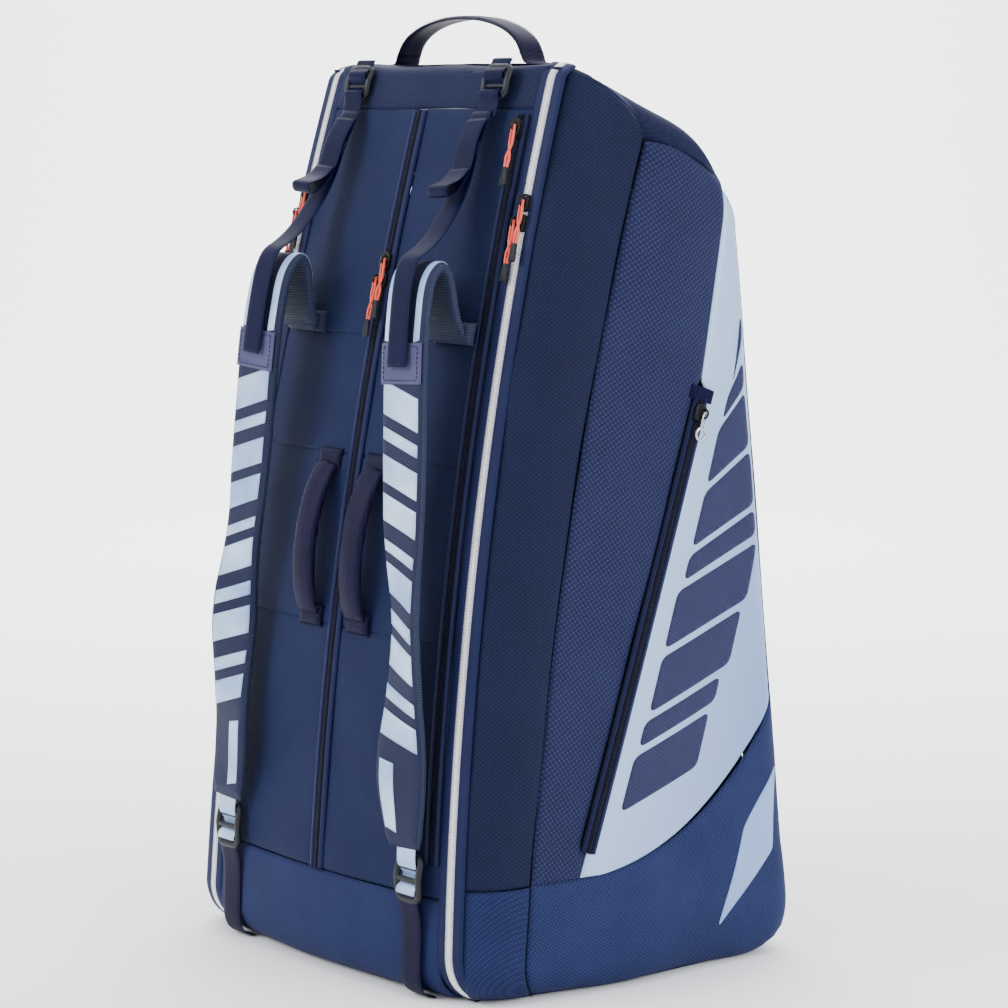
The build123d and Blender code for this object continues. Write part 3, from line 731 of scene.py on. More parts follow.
def rear_and_base():
    def back(u, v):
        z = 48.0 + (CROWN_END + 1.0 - 48.0) * v
        x = u * (zip_x(z) - 1.0)
        return np.stack([x, REAR_Y - REAR_LEAN * z + 3.0 - 3.0 * u ** 2, z], -1)
    mesh = cloth_panel(surface(steps(300.0, 6.0) * 2.0 - 1.0, steps(600.0, 6.0), back), soft=1.5, seed=12,
                       outward=(0, 1, 0))
    add("rear_cloth", mesh[0], mesh[1], [NAVY_SPINE, LINING], SLOT_NAVY, "core", ["rear_panel"], mesh[2])
    def under(u, v):
        run = v * 375.0
        x = u * (zip_x(0.0) - 2.0)
        start = FOOT_Y + 50.0
        bend_from = REAR_Y - 46.0 - start
        y = start + np.minimum(run, bend_from)
        turn = np.clip((run - bend_from) / 75.0, 0.0, 1.0) * math.pi / 2.0
        y = y + 44.5 * np.sin(turn)
        z = 0.6 + 47.0 * (1.0 - np.cos(turn))
        return np.stack([x, y - REAR_LEAN * 47.0 * (1.0 - np.cos(turn)) + 0.5, z], -1)
    mesh = cloth_panel(surface(steps(324.0, 7.0) * 2.0 - 1.0, steps(375.0, 6.0), under), soft=0.0, seed=1,
                       outward=(0, 0.5, -1),
                       pucker=0.0, dip=(1.5, 1.5, 0.0, 2.0))
    mesh[0][:, 2] = np.maximum(mesh[0][:, 2], 0.3)
    add("base_cloth", mesh[0], mesh[1], [NAVY_BOOT_FRONT, LINING], SLOT_NAVY, "core", ["base_panel"], mesh[2])


def dividers():
    def wall(u, v):
        z = 14.0 + (CROWN_END - 22.0) * v
        x = zip_x(z) - COIL - 4.0 + 0.0 * u
        y0, y1 = spine_y(z) + CROWNING + 12.0, np.minimum(rear_y(z), rear_y(620.0)) - 9.0
        return np.stack([x, y0 + (y1 - y0) * u, z], -1)
    mesh = cloth_panel(surface(steps(300.0, 8.0), steps(620.0, 8.0), wall), soft=0.5, seed=2,
                       outward=(1, 0, 0), thick=2.6)
    left = mesh[0] * np.array([-1.0, 1.0, 1.0])
    parts = join((mesh[0], mesh[1]), (left, mesh[1][:, ::-1]))
    add("divider_cloth", parts[0], parts[1], [LINING], "lining_grey", "core", ["divider_walls"])


spine_panels()
top_piece()
spine_foot()
rear_and_base()
dividers()


# ---- outer compartments ----
CAP_START = zip_x(SPINE_TOP) + 1.0
CAP_OUT = seam_x(CAP_SEAM)
CAP_FRONT = spine_y(SPINE_TOP) + 10.0


def cap_edge(y):
    """How far out the top panel's outer edge lies: on the side panel."""
    return side_x(y, cap_seam_z(y))


def cap_at(out, along):
    front = CAP_FRONT + (seam_y(CAP_SEAM) - CAP_FRONT) * out
    y = front + (rear_y(CROWN_END) - 1.0 - front) * along
    fall = 1.0 - (1.0 - out ** 2.15) ** (1.0 / 2.15)
    x = CAP_START + (cap_edge(y) - CAP_START) * out
    return np.stack([x, y, crown_z(y) * (1.0 - fall) + cap_seam_z(y) * fall], -1)


def diagonal(x):
    """Front edge of the top panel, where the gusset ends, at a given x."""
    out = np.clip((x - CAP_START) / (CAP_OUT - CAP_START), 0.0, 1.0)
    return cap_at(out, np.zeros_like(out))


def zip_gap(z):
    """Half the opening between the two panels the pocket zip joins."""
    inside = np.clip((z - POCKET_FOOT[1] + 2.0) / 8.0, 0.0, 1.0) * np.clip((POCKET_HEAD[1] + 14.0 - z) / 10.0,
                                                                           0.0, 1.0)
    return 0.4 + 6.6 * inside


def shell_panels():
    # gusset, from the boot seam to the diagonal seam under the top panel
    gusset_from = BOOT_SEAM + 0.5
    top_start = zip_x(SPINE_TOP) + COIL + 2.5
    def gusset(u, v):
        x_top = top_start + (CAP_OUT - top_start) * (1.0 - (1.0 - u) ** 1.9)
        target = diagonal(x_top)
        z_top = target[..., 2]
        z = gusset_from + (z_top - gusset_from) * v
        base = gusset_point(z, u)
        end = gusset_point(z_top, u)
        w = np.clip((z - CAP_SEAM + 60.0) / (z_top - CAP_SEAM + 60.0), 0.0, 1.0) ** 2
        return base + w[..., None] * (target - end)
    def lean(p):
        return 0.9 * np.sin(p[..., 2] * 0.021 + p[..., 1] * 0.03) * np.sin(p[..., 1] * 0.05 + 0.6)
    mesh = cloth_panel(surface(steps(85.0, 4.0), steps(620.0), gusset), soft=1.3, seed=21, puff=1.2,
                       creases=lean,
                       outward=(0.7, -0.7, 0.0))
    add_pair("gusset_cloth", mesh[0], mesh[1], [NAVY_GUSSET, NAVY_GUSSET], SLOT_NAVY, "shell", ["gusset"],
             mesh[2])
    def gusset_foot(u, v):
        z = 1.0 + (BOOT_SEAM - 1.5) * v
        back = arc_drop(np.maximum(34.0 - z, 0.0), 34.0) * (1.0 - u) ** 0.7
        return gusset_point(z, u) + np.stack([0.0 * back, back, 0.0 * back], -1)
    mesh = cloth_panel(surface(steps(85.0, 4.0), steps(98.0, 4.0), gusset_foot), soft=0.6, seed=22,
                       dip=(2.2, 2.2, 0.0, 2.2), outward=(0.7, -0.7, 0.0))
    mesh[0][:, 2] = np.maximum(mesh[0][:, 2], 0.3)
    add_pair("gusset_foot_cloth", mesh[0], mesh[1], [NAVY_BOOT_FRONT, LINING], SLOT_NAVY, "shell", [],
             mesh[2])

    # upper side panel, in front of the pocket zip
    def side(u, v):
        front0 = seam_y(BOOT_SEAM + 0.0)
        y_low = front0 + (pocket_y(boot_seam_z(POCKET_FOOT[0])) - 6.0 - front0) * u
        y_top = seam_y(CAP_SEAM) + (pocket_y(cap_seam_z(POCKET_TOP[0])) - 1.0 - seam_y(CAP_SEAM)) * u
        z_low = boot_seam_z(y_low) + 0.5
        z_top = cap_seam_z(y_top) - 0.5
        z = z_low + (z_top - z_low) * v
        front = seam_y(z) + 0.5
        for _ in range(4):
            y = front + (pocket_y(z) - zip_gap(z) - front) * u
            z = z + (cap_seam_z(y) - 0.5 - z_top) * v
            z_top = cap_seam_z(y) - 0.5
            front = seam_y(z) + 0.5
        y = front + (pocket_y(z) - zip_gap(z) - front) * u
        return np.stack([side_x(y, z), y, z], -1)
    mesh = cloth_panel(surface(steps(130.0, 4.5), steps(600.0), side), soft=1.5, seed=23, puff=1.0,
                       outward=(1, 0, 0))
    add_pair("side_cloth", mesh[0], mesh[1], [NAVY_LATTICE, LINING], SLOT_SIDE, "shell", ["side_panel"],
             mesh[2])

    # silver-blue pocket panel, behind the zip
    def pocket(u, v):
        z_start = boot_seam_z(POCKET_FOOT[0] + 2.0) + 1.0
        z_mid = z_start + (CROWN_END + 2.0 - z_start) * v
        front_low = pocket_y(z_mid) + zip_gap(z_mid)
        # back edge: the boot seam while it rises, then the rear corner
        rise = np.clip((z_mid - BOOT_SEAM) / 138.0, 0.0, 1.0)
        boot_y = FOOT_Y + 103.0 + 235.0 * rise ** 0.45
        back = np.minimum(boot_y, rear_y(z_mid) - WALL_END)
        back = np.maximum(back, front_low + 1.5)
        y = front_low + (back - front_low) * u
        return np.stack([side_x(y, z_mid), y, z_mid], -1)
    rows = steps(545.0, 4.0)
    grid = surface(steps(85.0, 4.0), rows, pocket)
    lift = np.maximum(grid[..., 2] - cap_seam_z(grid[..., 1]) + 0.5, 0.0)
    grid[..., 2] -= lift
    mesh = cloth_panel(grid, soft=0.9, seed=24, puff=0.8, outward=(1, 0, 0), dip=(1.4, 1.2, 1.4, 1.4),
                       pucker=0.18)
    add_pair("pocket_cloth", mesh[0], mesh[1], [SILVER, LINING], SLOT_SILVER, "shell", ["pocket_panel"],
             mesh[2])

    # boot panel
    def boot(u, v):
        z_floor = 1.0
        y_low = seam_y(z_floor) + 0.5 + (rear_y(z_floor) - WALL_END - seam_y(z_floor) - 1.0) * u
        y_high = seam_y(BOOT_SEAM) + 0.5 + (rear_y(234.0) - WALL_END - seam_y(BOOT_SEAM) - 1.0) * u
        z_top = boot_seam_z(y_high) + 1.0
        z = z_floor + (z_top - z_floor) * v
        y = seam_y(z) + 0.5 + (rear_y(z) - WALL_END - seam_y(z) - 1.0) * u
        z = np.minimum(z, boot_seam_z(y) + 1.0)
        return np.stack([side_x(y, z), y, z], -1)
    mesh = cloth_panel(surface(steps(250.0), steps(130.0), boot), soft=1.2, seed=25, puff=0.8,
                       outward=(1, 0, 0),
                       dip=(2.2, 0.0, 0.0, 2.2))
    mesh[0][:, 2] = np.maximum(mesh[0][:, 2], 0.3)
    add_pair("boot_cloth", mesh[0], mesh[1], [NAVY_BOOT, LINING], SLOT_SIDE, "shell", ["boot_panel"], mesh[2])

    # back corner and rear wall
    def rear(u, v):
        z = 1.0 + (CROWN_END - 1.5) * v
        y0 = rear_y(z) - WALL_END
        x0 = side_x(y0, z)
        x1 = zip_x(z) + 1.0
        t = u[..., None]
        a = np.stack([x0, y0, z], -1)
        b = a + np.stack([-7.6 + 0.0 * x0, 9.0 + 0.0 * x0, 0.0 * x0], -1)
        d = np.stack([x1, rear_y(z), z], -1)
        c = d + np.stack([12.0 + 0.0 * x1, 0.6 + 0.0 * x1, 0.0 * x1], -1)
        return (1 - t) ** 3 * a + 3 * (1 - t) ** 2 * t * b + 3 * (1 - t) * t * t * c + t ** 3 * d
    mesh = cloth_panel(surface(steps(48.0, 4.0), steps(648.0), rear), soft=1.2, seed=26, outward=(0.4, 1, 0),
                       dip=(0.0, 2.0, 0.0, 2.2))
    mesh[0][:, 2] = np.maximum(mesh[0][:, 2], 0.3)
    add_pair("rear_corner_cloth", mesh[0], mesh[1], [NAVY_SPINE, LINING], SLOT_SIDE, "shell",
             ["shell_rear_panel"], mesh[2])

    # floor of the compartment
    def floor(u, v):
        y0, y1 = spine_y(1.0) + CROWNING + 26.0, rear_y(1.0) - 1.0
        y = y0 + (y1 - y0) * v
        along = np.clip((y - y0) / (seam_y(1.0) - y0), 0.0, 1.0) ** (1.0 / 1.35)
        front_x = gusset_point(np.full_like(y, 1.0), along)[..., 0]
        wall_x = side_x(np.minimum(y, rear_y(1.0) - WALL_END), np.full_like(y, 1.0))
        outer = np.where(y < seam_y(1.0), front_x, wall_x) - 16.0 * np.clip((y - y1 + 14.0) / 14.0, 0.0, 1.0)
        x = zip_x(1.0) + 2.0 + (outer - zip_x(1.0) - 2.0) * u
        return np.stack([x, y, 0.6 + 0.0 * y], -1)
    mesh = cloth_panel(surface(steps(30.0, 6.0), steps(280.0, 6.0), floor), soft=0.0, seed=1,
                       outward=(0, 0, -1), pucker=0.0,
                       dip=(0, 0, 0, 0), thick=3.0)
    mesh[0][:, 2] = np.maximum(mesh[0][:, 2], 0.3)
    add_pair("floor_cloth", mesh[0], mesh[1], [NAVY_BOOT, LINING], SLOT_SIDE, "shell", ["shell_base_panel"],
             mesh[2])

    # top panel, with the slack folds its crown takes
    u_rows = 1.0 - (1.0 - np.linspace(0.0, 1.0, 22)) ** 1.25
    def folds(p):
        y, z, x = p[..., 1], p[..., 2], p[..., 0]
        edge = np.clip((CROWN_TOP + 4.0 - z) / 60.0, 0.0, 1.0)
        return (1.5 * np.sin(y * 0.062 + x * 0.05) * np.sin(y * 0.021 + 1.2) + 1.1 * np.sin(y * 0.11 - x * 0.09 + 0.5)) * (0.5 + 0.5 * edge)
    mesh = cloth_panel(surface(u_rows, steps(230.0, 4.5), cap_at), soft=1.2, seed=27, creases=folds,
                       outward=(0.5, 0, 1),
                       dip=(1.8, 2.2, 2.2, 2.2))
    add_pair("top_side_cloth", mesh[0], mesh[1], [NAVY_CAP, NAVY_CAP], SLOT_NAVY, "shell", ["cap_panel"],
             mesh[2])


shell_panels()


# ---- zips ----
def white_zip_path():
    zs = np.linspace(752.0, 40.0, 180)
    y = spine_y(zs) + CROWNING + 9.0 * np.clip((zs - SPINE_TOP) / 9.0, 0.0, 1.0) ** 1.6
    down = np.stack([zip_x(zs), y, zs], -1)
    turn = np.linspace(0.0, math.radians(76.0), 16)[1:]
    foot = np.stack([np.full_like(turn, zip_x(30.0)), spine_y(40.0) + CROWNING + 38.0 * (1.0 - np.cos(turn)),
                     40.0 - 38.0 * np.sin(turn)], -1)
    return np.concatenate([down, foot])


def side_hint(path):
    """Outward direction along the white zips: forwards, then down under the foot."""
    z = path[:, 2]
    low = np.clip((40.0 - z) / 40.0, 0.0, 1.0)
    return np.stack([0.10 + 0.0 * z, -1.0 + 0.55 * low, -0.9 * low + 0.18 * np.clip(z / 760.0, 0.0, 1.0)], -1)


def welt_profile(near, far, height):
    """Folded strip beside a coil: a rolled edge at near, pressed down at far."""
    s = 1.0 if far > near else -1.0
    w = abs(far - near)
    shape = [(0.0, 0.1), (0.15, height * 0.75), (0.9, height * 1.12), (2.2, height * 1.06),
             (w * 0.5, height * 0.95),
             (w * 0.78, height * 0.85), (w - 0.6, height * 0.45), (w, -0.6), (w * 0.5, -0.9), (0.6, -0.7)]
    points = [(near + s * a, b) for a, b in shape]
    return np.array(points if s < 0 else points[::-1])


def white_zips():
    path = resample(white_zip_path(), 3.0)
    hint = side_hint(path)
    tangent, normal, across = frames(path, hint)
    def row(inner, outer, phase):
        line = resample(path, 1.75)
        return teeth(line, side_hint(resample(line, 1.75)), 1.75, inner, outer, 1.55, 1.15, phase, 0.9)
    outer_teeth = row(-0.7, 3.9, 0.0)
    inner_teeth = row(0.7, -3.9, 1.0)
    tape = [(0.1, 0.9), (5.0, 0.9), (5.0, -0.2), (0.1, -0.2)]
    outer_tape = sweep(path, across, normal, tape[::-1])
    inner_tape = sweep(path, across, normal, [(-x, y) for x, y in tape])
    add_pair("white_coil_outer", *outer_teeth, [TEETH_WHITE], "zip_white", "shell", ["white_zip_outer_tape"])
    add_pair("white_tape_outer", *outer_tape, [TAPE_WHITE], "zip_white", "shell")
    add_pair("white_welt_outer", *sweep(path, across, normal, welt_profile(4.1, 14.2, 2.0)), [WELT],
             SLOT_NAVY, "shell")
    both = []
    for side in (1.0, -1.0):
        verts = inner_teeth[0] * np.array([side, 1.0, 1.0])
        both.append((verts, [f if side > 0 else f[::-1] for f in inner_teeth[1]]))
    add("white_coil_inner", *join(*both), [TEETH_WHITE], "zip_white", "core", ["white_zip_inner_tapes"])
    add_pair("white_tape_inner", *inner_tape, [TAPE_WHITE], "zip_white", "core")
    add_pair("white_welt_inner", *sweep(path, across, normal, welt_profile(-4.1, -13.6, 2.0)), [WELT],
             SLOT_NAVY, "core")


def dark_zip(name, path, hint, body, half, nodes, welt_out=11.0, pitch=1.7, stand=0.4, with_welts=True,
             pair=True):
    """Navy coil on its tape between two folded welts."""
    line = resample(path, pitch)
    ends = frames(line, hint)
    one = teeth(line, hint, pitch, -0.6, half, 1.3, 1.05, 0.0, 0.7 + stand)
    two = teeth(line, hint, pitch, 0.6, -half, 1.3, 1.05, 1.0, 0.7 + stand)
    tape_half = half + (4.6 if with_welts else 1.6)
    tape = sweep(line, ends[2], ends[1],
                 [(-tape_half, stand - 0.4), (-tape_half, stand + 0.7), (tape_half, stand + 0.7),
                                         (tape_half, stand - 0.4)])
    make = add_pair if pair else add
    make(name + "_coil", *join(one, two), [TEETH_NAVY], "zip_navy", body, nodes)
    make(name + "_tape", *tape, [TAPE_NAVY], "zip_navy", body)
    if with_welts:
        coarse = resample(path, 4.0)
        t, n, a = frames(coarse, hint)
        left = sweep(coarse, a, n, welt_profile(half + 0.5, welt_out, 1.7 + stand))
        right = sweep(coarse, a, n, welt_profile(-half - 0.5, -welt_out, 1.7 + stand))
        make(name + "_welts", *join(left, right), [WELT], SLOT_NAVY, body)


def spine_path(x_of, z_from, z_to, lift=0.0):
    zs = np.linspace(z_from, z_to, 160)
    x = x_of(zs)
    return np.stack([x, spine_front(x, zs) - lift, zs], -1)


SPINE_HINT = (0.0, -1.0, 0.22)
white_zips()
dark_zip("centre_zip", spine_path(lambda z: 0.0 * z, YOKE_SEAM - 1.0, BASE_SEAM + 1.0), SPINE_HINT, "core",
         3.1,
         ["centre_zip"], 9.0, pair=False)
dark_zip("spine_pocket_zip", spine_path(lambda z: zip_x(z) - 21.0, 712.0, 112.0, 0.8), (0.15, -1.0, 0.22),
         "core", 2.9,
         ["spine_pocket_zip"], 7.4, pair=False)


def pocket_zip_path():
    zs = np.linspace(POCKET_HEAD[1] + 4.0, POCKET_FOOT[1] - 2.0, 110)
    y = pocket_y(np.minimum(zs, POCKET_HEAD[1] - 0.1))
    y = y + (POCKET_HEAD[0] - POCKET_FOOT[0]) / (POCKET_HEAD[1] - POCKET_FOOT[1]) * np.maximum(zs - POCKET_HEAD[1], 0.0)
    return np.stack([side_x(y, zs) + 0.4, y, zs], -1)


dark_zip("pocket_zip", pocket_zip_path(), (1.0, -0.02, 0.0), "shell", 3.1, ["pocket_zip_tape"], 7.5)


# ---- shoulder straps ----
PAD_ROWS = [(18.0, 552.0), (30.0, 586.0), (42.0, 598.0), (54.0, 592.0), (59.0, 572.0), (54.0, 516.0),
            (42.0, 430.0),
            (34.0, 350.0), (28.0, 270.0), (24.0, 205.0), (18.0, 126.0)]
WEB_ROWS = [(9.0, 714.0), (15.0, 690.0), (18.0, 650.0), (34.0, 618.0), (47.0, 604.5), (60.5, 597.0),
            (62.5, 573.0),
            (57.2, 512.0)]


def strap_line(rows, shift=0.0):
    """Centre line of a strap from (stand-off, height) rows."""
    rows = np.array(rows)
    x = STRAP_X + STRAP_LEAN * (STRAP_SEAM - rows[:, 1])
    return np.stack([x, spine_front(x, rows[:, 1]) - rows[:, 0] - shift, rows[:, 1]], -1)


def strap_frames(path):
    """Across stays near X; the outward side is the outside of the arch."""
    tangent = unit(np.gradient(path, axis=0))
    across = unit(np.array([1.0, 0.0, 0.0]) - tangent * tangent[:, :1])
    normal = unit(np.cross(tangent, across))
    if normal[-1, 1] > 0:
        normal = -normal
    return tangent, across, normal


def pad_shape(run, total):
    """Half width, shift of the centre and twist of the strap pad along its length, in mm and radians."""
    t = run / total
    narrow = np.exp(-((t - 0.62) / 0.10) ** 2)
    waist = np.exp(-((t - 0.79) / 0.05) ** 2)
    half = PAD_WIDTH / 2.0 - 5.0 * narrow - 1.5 * waist - 7.0 * np.clip((t - 0.9) / 0.1, 0.0, 1.0) ** 1.5
    shift = 3.5 * np.sin((t - 0.52) * 9.5) * np.clip((t - 0.5) * 6.0, 0.0, 1.0) * np.clip((1.02 - t) * 8.0,
                                                                                          0.0, 1.0)
    twist = 0.28 * np.sin((t - 0.55) * 12.0) * np.clip((t - 0.5) * 6.0, 0.0, 1.0) * np.clip((1.0 - t) * 6.0,
                                                                                            0.0, 1.0)
    return half, shift, twist


def pad_frames():
    root = [(9.5, 531.0), (10.0, 540.0)]
    path = smooth_path(strap_line(root + PAD_ROWS), 4.0, 3)
    tangent, across, normal = strap_frames(path)
    run = np.concatenate([[0.0], np.cumsum(np.linalg.norm(np.diff(path, axis=0), axis=1))])
    half, shift, twist = pad_shape(run, run[-1])
    path = path + across * shift[:, None]
    c, s = np.cos(twist)[:, None], np.sin(twist)[:, None]
    across, normal = across * c + normal * s, normal * c - across * s
    return path, across, normal, half, run


def strap_pads():
    path, across, normal, half, run = pad_frames()
    thick = 9.0
    # rounded block section: flat outer face, soft sides, slightly hollow middle
    angle = np.linspace(0.0, 2.0 * math.pi, 40, endpoint=False)
    power = 0.30
    unit_x = np.sign(np.cos(angle)) * np.abs(np.cos(angle)) ** power
    unit_y = np.sign(np.sin(angle)) * np.abs(np.sin(angle)) ** 0.62
    ripple = 0.5 * np.sin(run * 0.14) + 0.4 * np.sin(run * 0.053 + 1.0)
    ends = np.clip(run / 10.0, 0.25, 1.0) * np.clip((run[-1] - run) / 8.0, 0.35, 1.0)
    profile = np.zeros((len(path), len(angle), 2))
    profile[..., 0] = unit_x[None] * half[:, None]
    sides = np.abs(unit_x)[None] ** 6
    profile[..., 1] = (unit_y[None] * (thick / 2.0) * (1.0 - 0.10 * sides) + 0.35 * ripple[:, None] * (1 - sides)) * ends[:, None] - thick / 2.0
    verts, faces = sweep(path, across, normal, profile)
    m = len(angle)
    mats = np.ones(len(faces))
    for i in range(len(faces) - 2):
        mats[i] = 0 if unit_y[i % m] > 0.55 and unit_y[(i % m + 1) % m] > 0.55 else 1
    for side in ("right_", "left_"):
        s = 1.0 if side == "right_" else -1.0
        points = verts * np.array([s, 1.0, 1.0])
        loops = faces if s > 0 else [f[::-1] for f in faces]
        pad = add(side + "strap_pad_cloth", points, loops, [PRINT_STRAP, MESH_EDGE], "strap_fabric",
                  None, [side + "strap_pad"], mats)
        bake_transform(pad)
    return path, across, normal, half, run


def on_pad(frames_, t, a, lift):
    """Point on the pad's outer face: t along in mm, a across from -1 to 1."""
    path, across, normal, half, run = frames_
    k = [np.interp(t, run, path[:, i]) for i in range(3)]
    ac = [np.interp(t, run, across[:, i]) for i in range(3)]
    no = [np.interp(t, run, normal[:, i]) for i in range(3)]
    h = np.interp(t, run, half)
    ripple = 0.5 * np.sin(t * 0.14) + 0.4 * np.sin(t * 0.053 + 1.0)
    sink = 0.35 * ripple * (1 - np.abs(a) ** 6) - 0.45 * np.abs(a) ** 6
    return np.stack([k[i] + ac[i] * h * a + no[i] * (sink + lift) for i in range(3)], -1)


def strap_print(frames_):
    """Silver-blue printed face with plain navy bars across it, made as thin raised sheets."""
    verts, faces, base = [], [], 0
    def patch(t0, t1, a0, a1, slant, corner=2.0, cols=10):
        nonlocal base
        rows = max(int((t1 - t0) / 3.0), 3)
        u, v = np.meshgrid(np.linspace(0.0, 1.0, rows), np.linspace(0.0, 1.0, cols), indexing="ij")
        a = a0 + (a1 - a0) * v
        t = t0 + (t1 - t0) * u + slant * (v - 0.5)
        sheet_points = on_pad(frames_, t, a, 0.42)
        under = on_pad(frames_, t, a, -0.3)
        count = rows * cols
        verts.append(sheet_points.reshape(-1, 3))
        verts.append(under.reshape(-1, 3))
        front = grid_faces(rows, cols, base, False)
        back = grid_faces(rows, cols, base + count, True)
        index = np.arange(count).reshape(rows, cols) + base
        border = np.concatenate([index[0, :], index[1:, -1], index[-1, -2::-1], index[-2:0:-1, 0]])
        nxt = np.roll(border, -1)
        rim = np.stack([border, border + count, nxt + count, nxt], -1)
        faces.extend(front.tolist() + back.tolist() + rim.tolist())
        base += 2 * count
    return patch, verts, faces


STRAP_BARS = [(27.0, 10.0), (10.0, 12.0), (22.0, 9.0), (22.0, 15.0), (9.0, 9.0), (25.0, 13.0), (12.0, 9.0),
              (24.0, 15.0), (11.0, 9.0),
              (20.0, 9.0)]


def straps():
    frames_ = strap_pads()
    run = frames_[4]
    z_of = frames_[0][:, 2]
    top_run = run[np.argmax(z_of)]
    def run_at(z):
        after = run > top_run
        return float(np.interp(-z, -z_of[after], run[after]))
    patch_at = (run_at(531.0), run_at(498.0))
    patch, verts, faces = strap_print(frames_)
    # pale bands either side of the webbing over the arch
    patch(24.0, patch_at[0] - 1.0, -0.86, -0.54, 2.0)
    patch(30.0, patch_at[0] - 1.0, 0.56, 0.82, -2.0)
    # printed face below the stitched patch: pale ground cut by slanted navy bars
    blocks, z0 = [], 494.0
    for pale, navy in STRAP_BARS:
        blocks.append((z0, z0 - pale, -0.84, 0.84, 15.0))
        z0 -= pale + navy
    blocks.append((196.0, 140.0, -0.78, -0.18, 4.0))
    for z0, z1, a0, a1, slant in blocks:
        patch(run_at(float(z0)), run_at(float(z1)), a0, a1, slant)
    for side in ("right_", "left_"):
        s = 1.0 if side == "right_" else -1.0
        points = np.concatenate(verts) * np.array([s, 1.0, 1.0])
        loops = [f if s < 0 else f[::-1] for f in faces]
        face = add(side + "strap_print", points, loops, [STRAP_FACE], "strap_fabric", None)
        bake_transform(face)
    # stitched patch that wraps the pad's face
    rows = np.linspace(patch_at[0], patch_at[1], 14)
    cols = np.linspace(-0.97, 0.97, 16)
    t, a = np.meshgrid(rows, cols, indexing="ij")
    grid = on_pad(frames_, t, a, 1.5)
    mesh = cloth_panel(grid, thick=1.3, dip=(0.7, 0.7, 0.6, 0.6), soft=0.15, seed=3, outward=(0, -1, 0),
                       pucker=0.15)
    add_pair("strap_patch", mesh[0], mesh[1], [PATCH, PATCH], "webbing_purple", "strap", [], mesh[2])
    seam = []
    for a_line in (-0.82, 0.82):
        line = on_pad(frames_, np.linspace(patch_at[0] + 3, patch_at[1] - 3, 12), np.full(12, a_line), 1.6)
        seam.append(stitches(line, (0, -1, 0)))
    for edge in (patch_at[0] + 3.0, patch_at[1] - 3.0):
        line = on_pad(frames_, np.full(16, edge), np.linspace(-0.82, 0.82, 16), 1.6)
        seam.append(stitches(line, (0, -1, 0)))
    add_pair("strap_patch_thread", *join(*seam), [THREAD], "webbing_purple", "strap")

    # webbing from the top adjuster down over the arch
    web = smooth_path(strap_line(WEB_ROWS), 4.0, 3)
    tangent, across, normal = strap_frames(web)
    mesh = sweep(web, across, normal, ribbon_profile(25.0, 2.0))
    for side in ("right_", "left_"):
        s = 1.0 if side == "right_" else -1.0
        points = mesh[0] * np.array([s, 1.0, 1.0])
        loops = mesh[1] if s > 0 else [f[::-1] for f in mesh[1]]
        piece = add(side + "strap_webbing_tape", points, loops, [WEB_NAVY], "strap_fabric", None,
                    [side + "strap_webbing"])
        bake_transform(piece)

    # keeper loops and the folded tail on the upper webbing, above the pad
    def on_web(z, lift):
        k = int(np.argmin(np.abs(web[:, 2] - z)))
        return web[k] + normal[k] * lift
    pieces = []
    for z0, z1, lift, width in ((690.0, 679.0, 2.6, 29.0),):
        line = np.array([on_web(z, lift) for z in np.linspace(z0, z1, 6)])
        t_, n_, a_ = frames(line, (0, -1, 0.2))
        pieces.append(sweep(line, -a_, n_, ribbon_profile(width, 1.6)))
    tail = smooth_path([on_web(706.0, 2.2), on_web(690.0, 5.0), on_web(672.0, 3.4), on_web(655.0, 5.5),
                        on_web(641.0, 10.0),
                        on_web(634.0, 15.0) + np.array([0, -1.0, 1.0]),
                        on_web(637.0, 19.0) + np.array([0, -2.0, 6.0]),
                        on_web(645.0, 17.0) + np.array([0, -2.0, 3.0]), on_web(655.0, 11.5),
                        on_web(668.0, 6.8)], 3.0, 3)
    t_, n_, a_ = frames(tail, (0, -1, 0.3))
    flat_across = np.tile(unit(np.array([1.0, 0.0, 0.06])), (len(tail), 1))
    flat_normal = unit(np.cross(t_, flat_across))
    pieces.append(sweep(tail, flat_across, flat_normal, ribbon_profile(25.5, 1.6)))
    for side in ("right_", "left_"):
        s = 1.0 if side == "right_" else -1.0
        joined = join(*pieces)
        points = joined[0] * np.array([s, 1.0, 1.0])
        loops = joined[1] if s > 0 else [f[::-1] for f in joined[1]]
        piece = add(side + "strap_tail", points, loops, [WEB_NAVY], "strap_fabric", None)
        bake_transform(piece)

